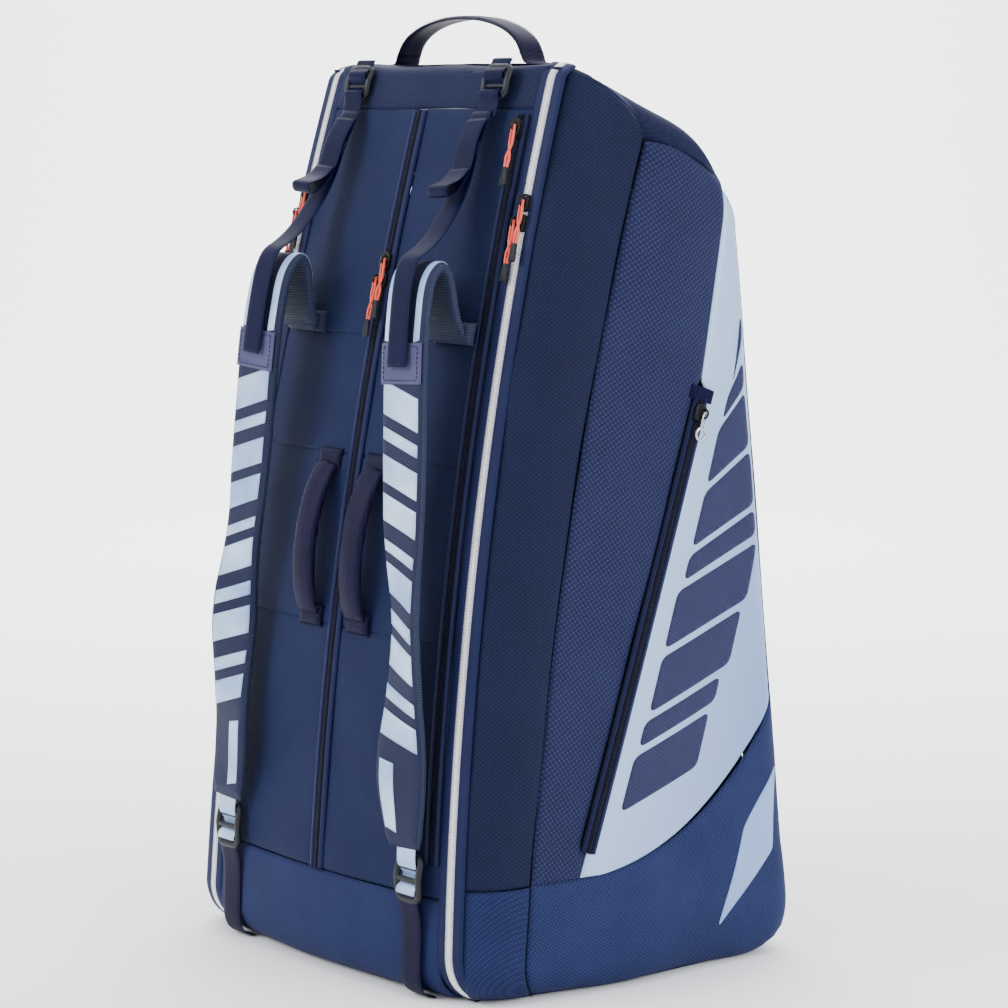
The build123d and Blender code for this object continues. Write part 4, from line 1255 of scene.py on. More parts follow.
    # webbing between pad end, lower adjuster and the foot of the bag
    x_low = STRAP_X + STRAP_LEAN * (STRAP_SEAM - 100.0)
    def low_point(off, z, dx=0.0):
        x = x_low + dx
        return np.array([x, spine_front(x, z) - off, z])
    web_low = smooth_path([low_point(13.0, 140.0, -2.0), low_point(12.0, 128.0, -1.0), low_point(12.5, 114.0),
                           low_point(9.5, 108.0),
                           low_point(5.0, 104.0), low_point(5.0, 98.0), low_point(11.5, 93.0),
                           low_point(11.5, 88.0)], 2.5, 2)
    t_, n_, a_ = frames(web_low, (0, -1, 0))
    low_mesh = sweep(web_low, a_, n_, ribbon_profile(24.0, 1.6))
    add_pair("strap_end_webbing", *low_mesh, [STRAP_FACE], "strap_fabric", "strap")
    anchor = smooth_path([low_point(9.0, 92.0), low_point(9.0, 84.0), low_point(6.0, 76.0),
                          low_point(3.0, 64.0), low_point(2.2, 45.0),
                          low_point(2.2, 30.0), low_point(1.4, 16.0), low_point(-4.0, 5.0),
                          low_point(-16.0, 1.0)], 3.0, 3)
    t_, n_, a_ = frames(anchor, np.stack([0 * anchor[:, 2], -np.ones(len(anchor)),
                                          -np.clip((30 - anchor[:, 2]) / 25.0, 0, 1) * 1.5], -1))
    mesh = sweep(anchor, a_, n_, ribbon_profile(25.0, 1.8))
    mesh[0][:, 2] = np.maximum(mesh[0][:, 2], 0.25)
    for side in ("right_", "left_"):
        s = 1.0 if side == "right_" else -1.0
        points = mesh[0] * np.array([s, 1.0, 1.0])
        loops = mesh[1] if s > 0 else [f[::-1] for f in mesh[1]]
        nodes = ["lower_webbing_anchors"] if s > 0 else []
        piece = add(side + "foot_webbing", points, loops, [WEB_PURPLE], "webbing_purple", None, nodes)
        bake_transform(piece)


def lock_mesh(width, height, bars, rail=3.0, bow=1.6):
    """Moulded ladder lock in its own plane: a rounded frame with cross bars."""
    parts = []
    hw, hh = width / 2.0 - rail, height / 2.0 - rail
    turn = np.linspace(0.0, 2.0 * math.pi, 64, endpoint=False)
    cx = np.sign(np.cos(turn)) * np.abs(np.cos(turn)) ** 0.42 * hw
    cy = np.sign(np.sin(turn)) * np.abs(np.sin(turn)) ** 0.42 * hh
    cz = 3.4 + bow * np.cos(cy / hh * math.pi) * 0.6
    loop = np.stack([cx, cy, cz], -1)
    tangent = unit(np.roll(loop, -1, 0) - np.roll(loop, 1, 0))
    up = np.tile([0.0, 0.0, 1.0], (len(loop), 1))
    side = unit(np.cross(up, tangent))
    up = unit(np.cross(tangent, side))
    oval = tube_profile(1.0, 10) * np.array([rail, 2.6])
    m = len(oval)
    verts = (loop[:, None] + side[:, None] * oval[None, :, :1] + up[:, None] * oval[None, :, 1:]).reshape(-1, 3)
    n = len(loop)
    faces = [[i * m + j, i * m + (j + 1) % m, ((i + 1) % n) * m + (j + 1) % m, ((i + 1) % n) * m + j]
             for i in range(n) for j in range(m)]
    parts.append((verts, faces))
    for y, lift, size in bars:
        xs = np.linspace(-hw, hw, 9)
        line = np.stack([xs, np.full(9, y), 3.4 + lift + 0.5 * (1 - (xs / hw) ** 2)], -1)
        t_, n_, a_ = frames(line, (0, 0, 1))
        parts.append(sweep(line, a_, n_, tube_profile(1.0, 10) * np.array(size)))
    return join(*parts)


def place(mesh, origin, across, up, outward):
    """Local (x, y, z) as across, up and outward from a point."""
    verts = np.asarray(mesh[0])
    basis = np.stack([across, up, outward])
    return np.asarray(origin) + verts @ basis, mesh[1]


def spine_plane(centre_x, z, lean, lift=0.0):
    slope = (z - SPINE_CENTRE_Z) / SPINE_RADIUS
    outwards = np.array([0.0, -math.sqrt(1.0 - slope ** 2), slope])
    across = np.cross(np.cross([1.0, 0.0, lean], outwards), outwards) * -1.0
    across = unit(across)
    up = np.cross(outwards, across)
    origin = np.array([centre_x, spine_front(abs(centre_x), z), z]) + outwards * lift
    return origin, across, up, outwards


def locks():
    upper = lock_mesh(34.0, 31.0, [(5.6, 0.9, (2.2, 1.8)), (-3.6, -0.6, (2.0, 1.6)), (-9.5, 0.7, (2.2, 2.0))])
    both = []
    for s in (1.0, -1.0):
        verts, faces = place(upper, *spine_plane(92.0, 737.0, 0.0, 3.0))
        both.append((verts * np.array([s, 1.0, 1.0]), faces if s > 0 else [f[::-1] for f in faces]))
    add("upper_locks_moulded", *join(*both), [PLASTIC], "lock_plastic", "core", ["upper_ladder_locks"])
    # webbing folded over the bars of the upper locks, and the short feed behind them
    fold = smooth_path([(0, 20.0, 0.6), (0, 14.0, 2.0), (0, 9.5, 4.6), (0, 7.5, 7.6), (0, 4.0, 7.9),
                        (0, 1.5, 5.5), (0, -1.0, 2.2),
                        (0, -4.5, 1.0), (0, -8.0, 3.2), (0, -9.5, 7.6), (0, -12.0, 7.4), (0, -15.0, 5.0),
                        (0, -22.0, 4.4), (0, -31.0, 5.0)], 1.8, 2)
    t_, n_, a_ = frames(fold, (0, 0, 1))
    ribbon = sweep(fold, np.tile([1.0, 0, 0], (len(fold), 1)),
                   unit(np.cross(t_, np.tile([1.0, 0, 0], (len(fold), 1)))), ribbon_profile(25.0, 1.5))
    both = []
    for s in (1.0, -1.0):
        verts, faces = place(ribbon, *spine_plane(91.0, 737.0, 0.0, 3.0))
        both.append((verts * np.array([s, 1.0, 1.0]), faces if s > 0 else [f[::-1] for f in faces]))
    add("upper_lock_webbing", *join(*both), [WEB_NAVY], "strap_fabric", "core")
    low = lock_mesh(34.0, 42.0, [(9.0, 0.4, (2.2, 1.8)), (-1.0, 1.2, (2.6, 2.0)), (-11.0, 0.0, (2.6, 1.9))],
                    rail=3.2, bow=2.0)
    x_low = STRAP_X + STRAP_LEAN * (STRAP_SEAM - 100.0)
    verts, faces = place(low, *spine_plane(x_low, 100.0, 0.0, 6.0))
    add_pair("strap_lock_moulded", verts, faces, [PLASTIC], "lock_plastic", "strap", ["strap_ladder_lock"])


straps()
locks()


# ---- handles ----
def carry_handles():
    middle = (HANDLE_FOOT + HANDLE_HEAD) / 2.0
    reach = (HANDLE_HEAD - HANDLE_FOOT) / 2.0 - 8.0
    zs = np.linspace(1.0, -1.0, 9)
    rows = []
    for s in zs:
        z = middle + reach * s
        stand = 6.0 + 13.5 * max(1.0 - abs(s) ** 2.4, 0.0)
        rows.append([32.0, float(spine_front(32.0, z)) - stand, z])
    path = smooth_path(rows, 3.0, 2)
    t_, n_, a_ = frames(path, (0, -1, 0.2))
    run = np.linspace(0.0, 1.0, len(path))
    swell = 0.55 + 0.45 * np.sin(np.clip(run * 4.0, 0, 1) * math.pi / 2) * np.sin(np.clip((1 - run) * 4.0, 0,
                                                                                          1) * math.pi / 2)
    angle = np.linspace(0.0, 2.0 * math.pi, 28, endpoint=False)
    ux = np.sign(np.cos(angle)) * np.abs(np.cos(angle)) ** 0.4
    uy = np.sign(np.sin(angle)) * np.abs(np.sin(angle)) ** 0.7
    profile = np.zeros((len(path), len(angle), 2))
    profile[..., 0] = ux[None] * 14.3
    profile[..., 1] = uy[None] * 3.2 * swell[:, None] - 1.0 + 1.2 * (np.cos(ux * math.pi)[None] * 0.5)
    verts, faces = sweep(path, a_, n_, profile)
    for side in ("right_", "left_"):
        s = 1.0 if side == "right_" else -1.0
        points = verts * np.array([s, 1.0, 1.0])
        loops = faces if s > 0 else [f[::-1] for f in faces]
        piece = add(side + "carry_handle_cloth", points, loops, [WEB_PURPLE], "webbing_purple", None,
                    [side + "carry_handle"])
        swell_cloth(piece)
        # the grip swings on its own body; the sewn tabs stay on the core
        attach(piece, side + "carry_handle")
    tabs = []
    for z in (HANDLE_FOOT + 5.0, HANDLE_HEAD - 5.0):
        origin, across, up, outward = spine_plane(32.0, z, 0.0, 0.6)
        grid = surface(np.linspace(-1, 1, 14), np.linspace(-1, 1, 9), lambda u,
                       v: origin + across * (u * 15.0)[..., None]
                       + up * (v * 9.0)[..., None] + outward * (2.2 + 2.8 * (1 - u ** 6) * (1 - v ** 4))[..., None])
        mesh = cloth_panel(grid, thick=2.6, dip=(1.0, 1.0, 1.0, 1.0), soft=0.2, seed=9, outward=(0, -1, 0),
                           pucker=0.2)
        tabs.append((mesh[0], mesh[1]))
    add_pair("carry_tabs", *join(*tabs), [WEB_HANDLE], "webbing_purple", "core")
    origin, across, up, outward = spine_plane(STRAP_X, STRAP_SEAM + 7.0, 0.0, 0.6)
    grid = surface(np.linspace(-1, 1, 16), np.linspace(-1, 1, 10), lambda u,
                   v: origin + across * (u * 26.0)[..., None]
                   + up * (v * 10.0)[..., None] + outward * (2.0 + 7.6 * (1 - u ** 8) * (1 - v ** 6))[..., None])
    mesh = cloth_panel(grid, thick=2.4, dip=(1.0, 1.0, 1.0, 1.0), soft=0.3, seed=9, outward=(0, -1, 0),
                       pucker=0.2)
    roots = add_pair("strap_root", mesh[0], mesh[1], [MESH_EDGE], "webbing_purple", "core")
    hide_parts("anchor_tabs")


def swell_cloth(piece, frames_to_run=14, cap=2.2, voxel=0.0032):
    """Pads a closed piece out with a short cloth simulation, capped, and keeps the result on its mesh."""
    scene = bpy.context.scene
    rest = piece.data.copy()
    probe = bpy.data.objects.new("swell_probe", piece.data.copy())
    scene.collection.objects.link(probe)
    remesh = probe.modifiers.new("remesh", "REMESH")
    remesh.mode = "VOXEL"
    remesh.voxel_size = voxel
    bpy.context.view_layer.update()
    solid = bpy.data.meshes.new_from_object(probe.evaluated_get(bpy.context.evaluated_depsgraph_get()))
    probe.modifiers.clear()
    probe.data = solid
    before = np.array([v.co for v in solid.vertices])
    cloth = probe.modifiers.new("cloth", "CLOTH")
    cloth.settings.use_pressure = True
    cloth.settings.uniform_pressure_force = 3.0
    cloth.settings.effector_weights.gravity = 0.0
    cloth.settings.quality = 5
    cloth.collision_settings.use_collision = False
    for number in range(1, frames_to_run + 1):
        scene.frame_set(number)
    result = bpy.data.meshes.new_from_object(probe.evaluated_get(bpy.context.evaluated_depsgraph_get()))
    after = np.array([v.co for v in result.vertices])
    move = after - before
    size = np.linalg.norm(move, axis=1, keepdims=True)
    move *= np.minimum(1.0, cap * MM / np.maximum(size, 1e-9))
    result.vertices.foreach_set("co", (before + move).astype(np.float32).ravel())
    for material in rest.materials:
        result.materials.append(material)
    result.polygons.foreach_set("use_smooth", np.ones(len(result.polygons), bool))
    result.update()
    name = piece.data.name
    piece.data = result
    result.name = name
    bpy.data.objects.remove(probe)
    scene.frame_set(1)


def top_handle():
    y0 = FOOT_Y + 170.0
    z0 = float(core_crown_z(y0)) + 3.6
    half, rise = 82.0, 38.0
    theta = np.linspace(0.0, math.pi, 61)
    x = -half * np.cos(theta)
    z = z0 + 1.0 + (rise + 0.4) * (np.maximum(1.0 - (np.abs(x) / half) ** 2.0, 0.0)) ** (1.0 / 2.4)
    path = np.stack([x, np.full_like(x, y0), z], -1)
    path = path[(z > z0 + 9.0)]
    path = resample(path, 3.0)
    tangent = unit(np.gradient(path, axis=0))
    across = np.tile([0.0, 1.0, 0.0], (len(path), 1))
    normal = unit(np.cross(across, tangent))
    normal *= np.where(normal[:, 2:3] < 0, -1.0, 1.0)
    across = np.cross(tangent, normal)
    run = np.linspace(0.0, 1.0, len(path))
    middle = np.sin(run * math.pi) ** 0.6
    base = ribbon_profile(26.0, 3.2, count=13)
    profile = np.stack([base * np.array([1.0 - 0.03 * m, 1.0]) + np.array([0.0, -1.0]) for m in middle])
    profile[..., 1] += 1.1 * middle[:, None] * (1.0 - (profile[..., 0] / 13.0) ** 2)
    grip = sweep(path, across, normal, profile)
    add("top_handle_cloth", *grip, [WEB_HANDLE], "webbing_purple", "top_handle", ["top_handle"])
    threads = []
    for offset in (-10.6, 10.6):
        threads.append(stitches(path + across * offset + normal * 2.4, (0, 0, 1)))
    add("top_handle_thread", *join(*threads), [THREAD], "webbing_purple", "top_handle")
    # feet: bent ribbons from the arch's ends down to the band
    for name, s in (("right", 1.0), ("left", -1.0)):
        end = path[-1] if s > 0 else path[0]
        foot = smooth_path([end + np.array([-s * 3.2, 0.0, 5.0]), end + np.array([s * 0.2, 0, -0.5]),
                            (s * 82.5, y0, z0 + 4.6),
                            (s * 85.5, y0 + 0.4, z0 + 0.6), (s * 96.0, y0 + 0.6, z0 - 1.2),
                            (s * 111.0, y0 + 0.8, z0 - 1.8)], 2.5, 3)
        t_ = unit(np.gradient(foot, axis=0))
        wide = np.tile([0.0, 1.0, -0.20], (len(foot), 1))
        tilt = np.linspace(0.0, 1.0, len(foot))[:, None]
        wide = unit(np.array([0.0, 1.0, 0.0]) * (1 - tilt) + wide * tilt)
        n_ = unit(np.cross(wide, t_))
        n_ *= np.where((n_ @ np.array([s * 0.6, 0.0, 1.0]))[:, None] < 0, -1.0, 1.0)
        a_ = np.cross(t_, n_)
        piece = add(name + "_handle_foot", *sweep(foot, a_, n_, ribbon_profile(26.0, 2.6)), [WEB_HANDLE],
                    "webbing_purple", None)
        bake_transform(piece)
    # band across the whole top
    xs = np.linspace(-zip_x(SPINE_TOP) + 2.0, zip_x(SPINE_TOP) - 2.0, 90)
    def band(u, v):
        x = xs[0] + (xs[-1] - xs[0]) * u
        y = y0 - 15.5 + 31.0 * v
        return np.stack([x, y, core_crown_z(y) + 2.4 - 2.2 * np.abs(2 * u - 1) ** 8], -1)
    mesh = cloth_panel(surface(steps(280.0, 5.0), steps(31.0, 3.0), band), thick=1.8,
                       dip=(1.6, 1.6, 1.2, 1.2), soft=0.8, seed=8,
                       outward=(0, 0, 1), pucker=0.25)
    add("top_band_cloth", mesh[0], mesh[1], [WEB_PURPLE, WEB_PURPLE], "webbing_purple", "core",
        ["handle_band"], mesh[2])


carry_handles()
top_handle()


# ---- sliders and pulls ----
def box_loft(rings):
    """Closed solid through rounded-rectangle rings: (z, half x, half y, centre y)."""
    angle = np.linspace(0.0, 2.0 * math.pi, 20, endpoint=False)
    ux = np.sign(np.cos(angle)) * np.abs(np.cos(angle)) ** 0.5
    uy = np.sign(np.sin(angle)) * np.abs(np.sin(angle)) ** 0.5
    verts = []
    for z, hx, hy, cy in rings:
        verts += [(hx * a, cy + hy * b, z) for a, b in zip(ux, uy)]
    m = len(angle)
    faces = [[i * m + j, i * m + (j + 1) % m, (i + 1) * m + (j + 1) % m,
              (i + 1) * m + j] for i in range(len(rings) - 1) for j in range(m)]
    faces.append(list(range(m))[::-1])
    faces.append(list(range((len(rings) - 1) * m, len(rings) * m)))
    return np.array(verts), faces


def tube(points, radius, count=8, pitch=None, flat=1.0):
    line = resample(points, pitch) if pitch else np.asarray(points, float)
    t_, n_, a_ = frames(line, (0.02, 0.01, 1.0))
    return sweep(line, a_, n_, tube_profile(radius, count) * np.array([1.0, flat]))


def slider_mesh(bail):
    lower = box_loft([(0.4, 5.6, 6.4, 0.0), (0.9, 6.2, 7.0, 0.0), (2.3, 6.4, 7.2, 0.0), (2.7, 5.2, 6.4, 0.0)])
    upper = box_loft([(2.6, 4.8, 6.2, 0.0), (3.4, 6.3, 7.3, 0.0), (5.2, 6.3, 7.3, 0.0), (6.0, 5.4, 6.4, 0.0),
                      (6.2, 3.6, 4.6, 0.0)])
    arch = [(bail, -3.4, 5.8), (bail, -3.6, 8.0), (bail, -2.6, 10.0), (bail, 0.0, 10.9), (bail, 2.6, 10.0),
            (bail, 3.6, 8.0), (bail, 3.4, 5.8)]
    line = smooth_path(arch, 0.8, 2)
    t_, n_, a_ = frames(line, (1.0, 0.0, 0.0))
    bridge = sweep(line, a_, n_, tube_profile(1.0, 8) * np.array([0.75, 1.0]))
    return join(lower, upper, bridge)


def cord_mesh(bail, seed):
    """Two strands of cord from the bail, crossing once, into a tapered tip."""
    rng = np.random.RandomState(seed)
    sway = rng.uniform(-0.5, 0.5, 2)
    strands = []
    for s in (-1.0, 1.0):
        pts = [(bail + 0.2 * s, 0.9, PIN_HEIGHT + 0.2), (bail + 1.3 * s, -1.6, PIN_HEIGHT + 0.5),
               (bail + 2.3 * s, -9.0, PIN_HEIGHT + 0.5 * s),
               (bail + 1.0 * s + sway[0], -17.0, PIN_HEIGHT - 0.4 * s),
               (bail - 1.3 * s + sway[1], -25.0, PIN_HEIGHT + 0.9 * s),
               (bail - 1.2 * s, -31.0, PIN_HEIGHT + 0.5 * s), (bail - 0.9 * s, -36.5, PIN_HEIGHT)]
        strands.append(tube(smooth_path(pts, 1.2, 3), 1.05, 8))
    loop = tube(smooth_path([(bail - 1.3, -0.6, PIN_HEIGHT + 0.2), (bail - 0.7, 1.0, PIN_HEIGHT),
                             (bail + 0.7, 1.0, PIN_HEIGHT),
                             (bail + 1.3, -0.6, PIN_HEIGHT + 0.2)], 0.7, 2), 1.0, 8)
    strands.append(loop)
    return join(*strands)


def tip_mesh(bail):
    angle = np.linspace(0.0, 2.0 * math.pi, 20, endpoint=False)
    ux = np.sign(np.cos(angle)) * np.abs(np.cos(angle)) ** 0.45
    uy = np.sign(np.sin(angle)) * np.abs(np.sin(angle)) ** 0.45
    rings = [(-34.2, 1.7, 1.0), (-34.8, 2.3, 1.5), (-38.0, 2.6, 1.65), (-44.0, 3.3, 1.5), (-48.2, 3.9, 1.2),
             (-49.2, 3.5, 0.9)]
    verts = []
    for y, hx, hz in rings:
        verts += [(bail + hx * a, y, PIN_HEIGHT + hz * b) for a, b in zip(ux, uy)]
    m = len(angle)
    faces = [[i * m + j, (i + 1) * m + j, (i + 1) * m + (j + 1) % m,
              i * m + (j + 1) % m] for i in range(len(rings) - 1) for j in range(m)]
    faces.append(list(range(m)))
    faces.append(list(range((len(rings) - 1) * m, len(rings) * m))[::-1])
    return np.array(verts), faces


def ring_mesh():
    turn = np.linspace(0.0, 2.0 * math.pi, 49)
    circle = np.stack([PIN_OFFSET + 5.0 * np.cos(turn), -17.0 + 5.0 * np.sin(turn), np.full(49, PIN_HEIGHT)],
                      -1)
    ring = tube(circle, 1.35, 8, flat=0.8)
    tab = []
    for s in (-1.0, 1.0):
        tab.append(tube(smooth_path([(PIN_OFFSET + 1.5 * s, 0.8, PIN_HEIGHT),
                                     (PIN_OFFSET + 2.2 * s, -4.0, PIN_HEIGHT),
                                     (PIN_OFFSET + 1.6 * s, -12.2, PIN_HEIGHT)], 1.0, 2), 0.95, 8, flat=0.8))
    cross = tube([(PIN_OFFSET - 1.6, 0.7, PIN_HEIGHT), (PIN_OFFSET + 1.6, 0.7, PIN_HEIGHT)], 0.9, 8)
    return join(ring, cross, *tab)


def pocket_plane(z):
    head = np.array([side_x(*POCKET_HEAD), *POCKET_HEAD])
    foot = np.array([side_x(*POCKET_FOOT), *POCKET_FOOT])
    up = unit(head - foot)
    origin = foot + (head - foot) * ((z - foot[2]) / (head[2] - foot[2]))
    outward = np.array([1.0, 0.0, 0.0])
    outward = unit(outward - up * outward.dot(up))
    return origin, np.cross(up, outward), up, outward


def hardware():
    rows = []
    for name, side in (("right", 1.0), ("left", -1.0)):
        for end, z, bail in (("upper", 641.0, 1.0), ("lower", 625.0, -1.0)):
            rows.append((f"{name}_zip_{end}", spine_plane(side * zip_x(z), z, side * 0.03), bail))
    for end, z, bail in (("upper", 590.0, 1.0), ("lower", 574.0, -1.0)):
        rows.append((f"centre_zip_{end}", spine_plane(0.0, z, 0.0), bail))
    rows.append(("spine_pocket_zip", spine_plane(zip_x(700.0) - 21.0, 700.0, 0.03, 2.6), 1.0))
    for index, (name, plane, bail) in enumerate(rows):
        offset = bail * PIN_OFFSET
        add(name + "_slider_body", *place(slider_mesh(offset), *plane), [BLACK_METAL], "slider_metal",
            name + "_slider", [name + "_slider"])
        add(name + "_cord", *place(cord_mesh(offset, index), *plane), [CORD], "pull_cord_red", name + "_pull",
            [name + "_pull"])
        add(name + "_tip", *place(tip_mesh(offset), *plane), [RUBBER], "lock_plastic", name + "_pull")
    plane = pocket_plane(470.0)
    for side in ("right_", "left_"):
        s = 1.0 if side == "right_" else -1.0
        for part, mesh, material, slot, body in (("slider_body", slider_mesh(PIN_OFFSET), BLACK_METAL,
                                                  "slider_metal", "slider"),
                                                 ("ring", ring_mesh(), STEEL, "ring_metal", "pull")):
            verts, faces = place(mesh, *plane)
            add(side + "pocket_zip_" + part, verts * np.array([s, 1.0, 1.0]),
                faces if s > 0 else [f[::-1] for f in faces], [material],
                slot, side + "pocket_zip_" + body, [side + "pocket_zip_" + body])
    # ribbed garage over the head of the pocket zip
    origin, across, up, outward = pocket_plane(POCKET_HEAD[1] + 2.0)
    grid = surface(np.linspace(-1, 1, 61), np.linspace(-1, 1, 9), lambda u,
                   v: origin + across * (u * 13.0)[..., None]
                   + up * (v * 5.5 + 1.0)[..., None] + outward * (3.4 - 1.6 * u ** 2 + 0.45 * np.cos(u * 13.0 * 2.0))[..., None])
    mesh = cloth_panel(grid, thick=1.8, dip=(0.8, 0.8, 0.5, 0.5), soft=0.0, seed=1, outward=(1, 0, 0),
                       pucker=0.0)
    add_pair("pocket_zip_garage", mesh[0], mesh[1], [WEB_NAVY, WEB_NAVY], "webbing_purple", "shell", [],
             mesh[2])


hardware()


# ---- printed shapes: plain slanted blocks, not letters ----
def rounded_polygon(corners, radius, per=6):
    pts = np.array(corners, float)
    out = []
    for k in range(len(pts)):
        a, b, c = pts[k - 1], pts[k], pts[(k + 1) % len(pts)]
        r = min(radius, 0.45 * np.linalg.norm(a - b), 0.45 * np.linalg.norm(c - b))
        p, q = b + unit(a - b) * r, b + unit(c - b) * r
        for t in np.linspace(0.0, 1.0, per):
            out.append((1 - t) ** 2 * p + 2 * (1 - t) * t * b + t ** 2 * q)
    return np.array(out)


def print_sheet(corners, radius, lift_of, pitch=4.0):
    """Thin sheet filling a convex rounded polygon given in (y, z), laid on the side surface."""
    outline = rounded_polygon(corners, radius)
    y0, z0 = outline.min(0) - 1.0
    y1, z1 = outline.max(0) + 1.0
    bm = bmesh.new()
    ny, nz = max(int((y1 - y0) / pitch), 2), max(int((z1 - z0) / pitch), 2)
    grid = [[bm.verts.new((y0 + (y1 - y0) * i / ny, z0 + (z1 - z0) * j / nz,
                           0.0)) for j in range(nz + 1)] for i in range(ny + 1)]
    for i in range(ny):
        for j in range(nz):
            bm.faces.new((grid[i][j], grid[i + 1][j], grid[i + 1][j + 1], grid[i][j + 1]))
    centre = outline.mean(0)
    for k in range(len(outline)):
        a, b = outline[k - 1], outline[k]
        if np.linalg.norm(b - a) < 1e-4:
            continue
        side = np.array([b[1] - a[1], a[0] - b[0]])
        if side.dot(centre - a) > 0:
            side = -side
        bmesh.ops.bisect_plane(bm, geom=bm.verts[:] + bm.edges[:] + bm.faces[:], dist=1e-5,
                               plane_co=(a[0], a[1], 0.0),
                               plane_no=(side[0], side[1], 0.0), clear_outer=True)
    bm.verts.index_update()
    flat = np.array([v.co[:2] for v in bm.verts]) if len(bm.verts) else np.zeros((0, 2))
    faces = [[v.index for v in f.verts] for f in bm.faces]
    rim = [[e.verts[0].index, e.verts[1].index] for e in bm.edges if len(e.link_faces) == 1]
    owner = {}
    for f in faces:
        for a, b in zip(f, f[1:] + f[:1]):
            owner[(a, b)] = True
    bm.free()
    y, z = flat[:, 0], flat[:, 1]
    top = lift_of(y, z, 0.35)
    low = lift_of(y, z, -0.6)
    count = len(top)
    all_faces = faces + [[k + count for k in f[::-1]] for f in faces]
    for a, b in rim:
        if (a, b) not in owner:
            a, b = b, a
        all_faces.append([a, a + count, b + count, b])
    return np.concatenate([top, low]), all_faces


def panel_lift(seed, soft, puff, size=(70.0, 190.0)):
    """The side surface as cloth_panel displaces it away from its edges."""
    def lift(y, z, extra):
        base = np.stack([side_x(y, z), y, z], -1)
        e = 0.5
        dy = (np.stack([side_x(y + e, z), y + e, z], -1) - np.stack([side_x(y - e, z), y - e, z], -1))
        dz = (np.stack([side_x(y, z + e), y, z + e], -1) - np.stack([side_x(y, z - e), y, z - e], -1))
        n = unit(np.cross(dy, dz))
        n *= np.where(n[:, :1] < 0, -1.0, 1.0)
        return base + n * (soft * waves(base, seed, size) + puff + extra)[:, None]
    return lift


def pocket_prints():
    lift = panel_lift(24, 0.9, 0.8)
    lean = np.array([0.323, 1.0])          # up the pocket zip
    across = np.array([1.0, 0.36])         # the blocks' cut ends
    start = np.array([FOOT_Y + 163.0, 150.0])
    pieces = []
    cursor = 0.0
    widths = [(44.0, 80.0, 0.0), (20.0, 82.0, 2.0), (44.0, 88.0, 4.0), (46.0, 92.0, 4.0), (20.0, 90.0, 8.0),
              (44.0, 86.0, 8.0),
              (44.0, 82.0, 8.0), (20.0, 76.0, 10.0), (38.0, 70.0, 12.0), (26.0, 60.0, 14.0)]
    for length, width, shift in widths:
        a = start + lean * cursor + across * (shift - 8.0)
        b = a + across * width
        c = b + lean * length
        d = a + lean * length
        limit = [np.array([min(p[0], float(rear_y(p[1])) - 20.0), p[1]]) for p in (a, b, c, d)]
        pieces.append(print_sheet(limit, 7.0, lift))
        cursor += length + 7.0
    verts, faces = join(*pieces)
    add_pair("pocket_print", verts, faces, [PRINT_SIDE], SLOT_SIDE, "shell")


def boot_print():
    lift = panel_lift(25, 1.2, 0.8)
    shape = [(FOOT_Y + 262.0, 34.0), (FOOT_Y + 324.0, 92.0), (FOOT_Y + 330.0, 164.0), (FOOT_Y + 290.0, 116.0)]
    verts, faces = print_sheet(shape, 5.0, lift)
    add_pair("boot_print", verts, faces, [PATCH_PALE], SLOT_SILVER, "shell")


pocket_prints()
boot_print()


# ---- stage, light and camera ----
def plain(name, color, roughness=0.9):
    n = Nodes(name, roughness)
    return n.finish(n.mix(n.math("MULTIPLY", n.noise(400.0, 1.0), 0.05), color, srgb(250, 250, 252)))


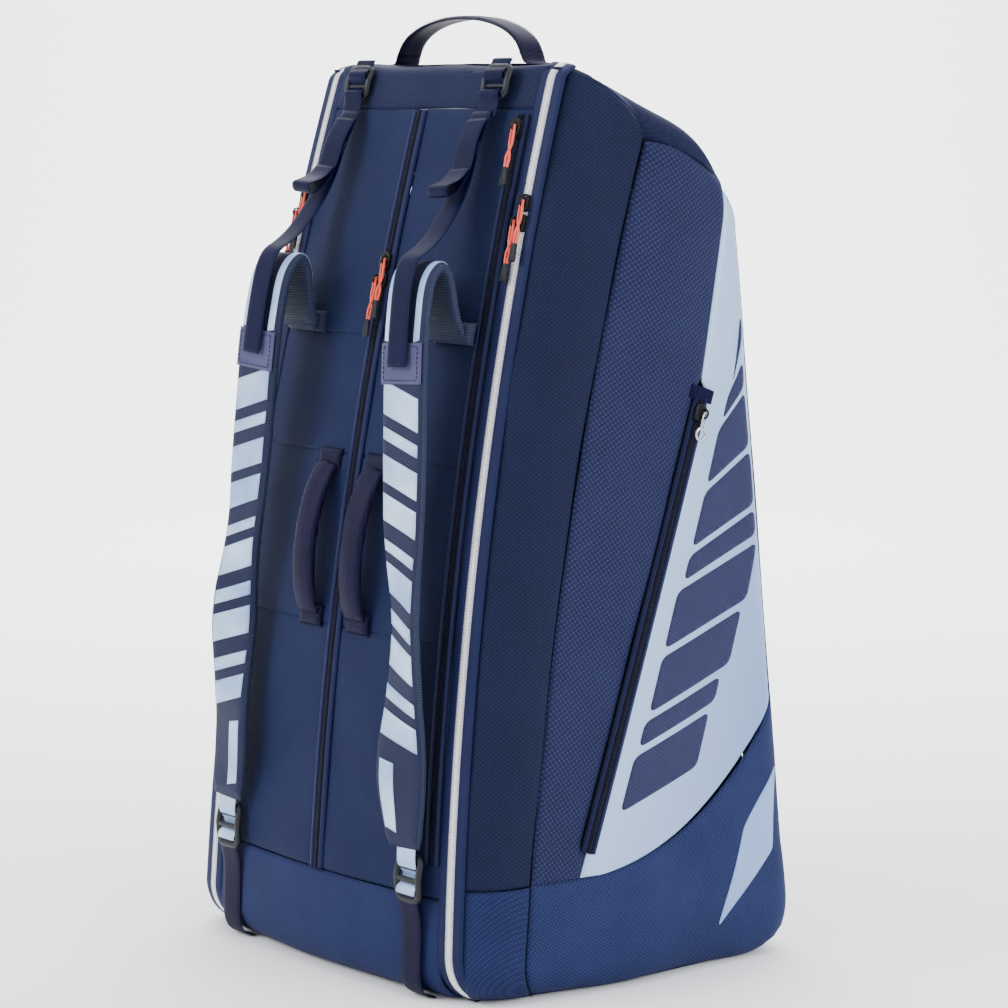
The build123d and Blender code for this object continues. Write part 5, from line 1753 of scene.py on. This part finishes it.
def stage():
    mesh = bpy.data.meshes.new("floor")
    bend = np.linspace(0.0, math.pi / 2.0, 12)
    profile = [(-5.0, 0.0), (3.0, 0.0)] + [(3.0 + math.sin(a) * 1.5,
                                            1.5 - math.cos(a) * 1.5) for a in bend[1:]] + [(4.5, 6.0)]
    turn = Matrix.Rotation(math.radians(50.0), 3, "Z")
    verts, faces = [], []
    for d, h in profile:
        for w in (-8.0, 8.0):
            p = turn @ Vector((w, d, 0.0))
            verts.append((p.x, p.y, h))
    for k in range(len(profile) - 1):
        faces.append((2 * k, 2 * k + 1, 2 * k + 3, 2 * k + 2))
    mesh.from_pydata(verts, [], faces)
    mesh.polygons.foreach_set("use_smooth", np.ones(len(faces), bool))
    floor = bpy.data.objects.new("floor", mesh)
    bpy.context.scene.collection.objects.link(floor)
    mesh.materials.append(plain("floor_pale", srgb(244, 244, 246)))


def area(name, place_at, target, size, power, color=(1.0, 1.0, 1.0)):
    light = bpy.data.lights.new(name, "AREA")
    light.shape = "RECTANGLE"
    light.size, light.size_y = size
    light.energy = power
    light.color = color
    lamp = bpy.data.objects.new(name, light)
    bpy.context.scene.collection.objects.link(lamp)
    lamp.location = place_at
    lamp.rotation_euler = (Vector(target) - Vector(place_at)).to_track_quat("-Z", "Y").to_euler()


def lights():
    world = bpy.data.worlds.new("studio")
    bpy.context.scene.world = world
    world.use_nodes = True
    world.node_tree.nodes["Background"].inputs["Color"].default_value = (0.93, 0.95, 1.0, 1.0)
    world.node_tree.nodes["Background"].inputs["Strength"].default_value = 1.5
    area("key_left_front", (-1.1, -2.9, 2.1), (0.0, 0.0, 0.4), (1.6, 1.6), 95.0)
    area("fill_right", (2.9, 0.4, 1.6), (0.1, 0.0, 0.35), (1.4, 2.0), 60.0)
    area("backdrop", (-1.6, 1.4, 2.6), (-2.6, 2.2, 0.4), (3.0, 1.5), 260.0)
    area("top", (0.2, 0.4, 3.0), (0.0, 0.0, 0.5), (2.0, 2.0), 40.0)


def camera():
    data = bpy.data.cameras.new("camera")
    data.sensor_width = 36.0
    data.lens = 3124.0 / 1008.0 * 36.0
    data.clip_end = 60.0
    cam = bpy.data.objects.new("camera", data)
    bpy.context.scene.collection.objects.link(cam)
    cam.location = (2.0622, -1.6997, 0.7207)
    azimuth, pitch = math.radians(50.0), math.radians(7.3)
    view = Vector((-math.sin(azimuth) * math.cos(pitch), math.cos(azimuth) * math.cos(pitch),
                   -math.sin(pitch)))
    cam.rotation_euler = view.to_track_quat("-Z", "Y").to_euler()
    bpy.context.scene.camera = cam


stage()
lights()
camera()
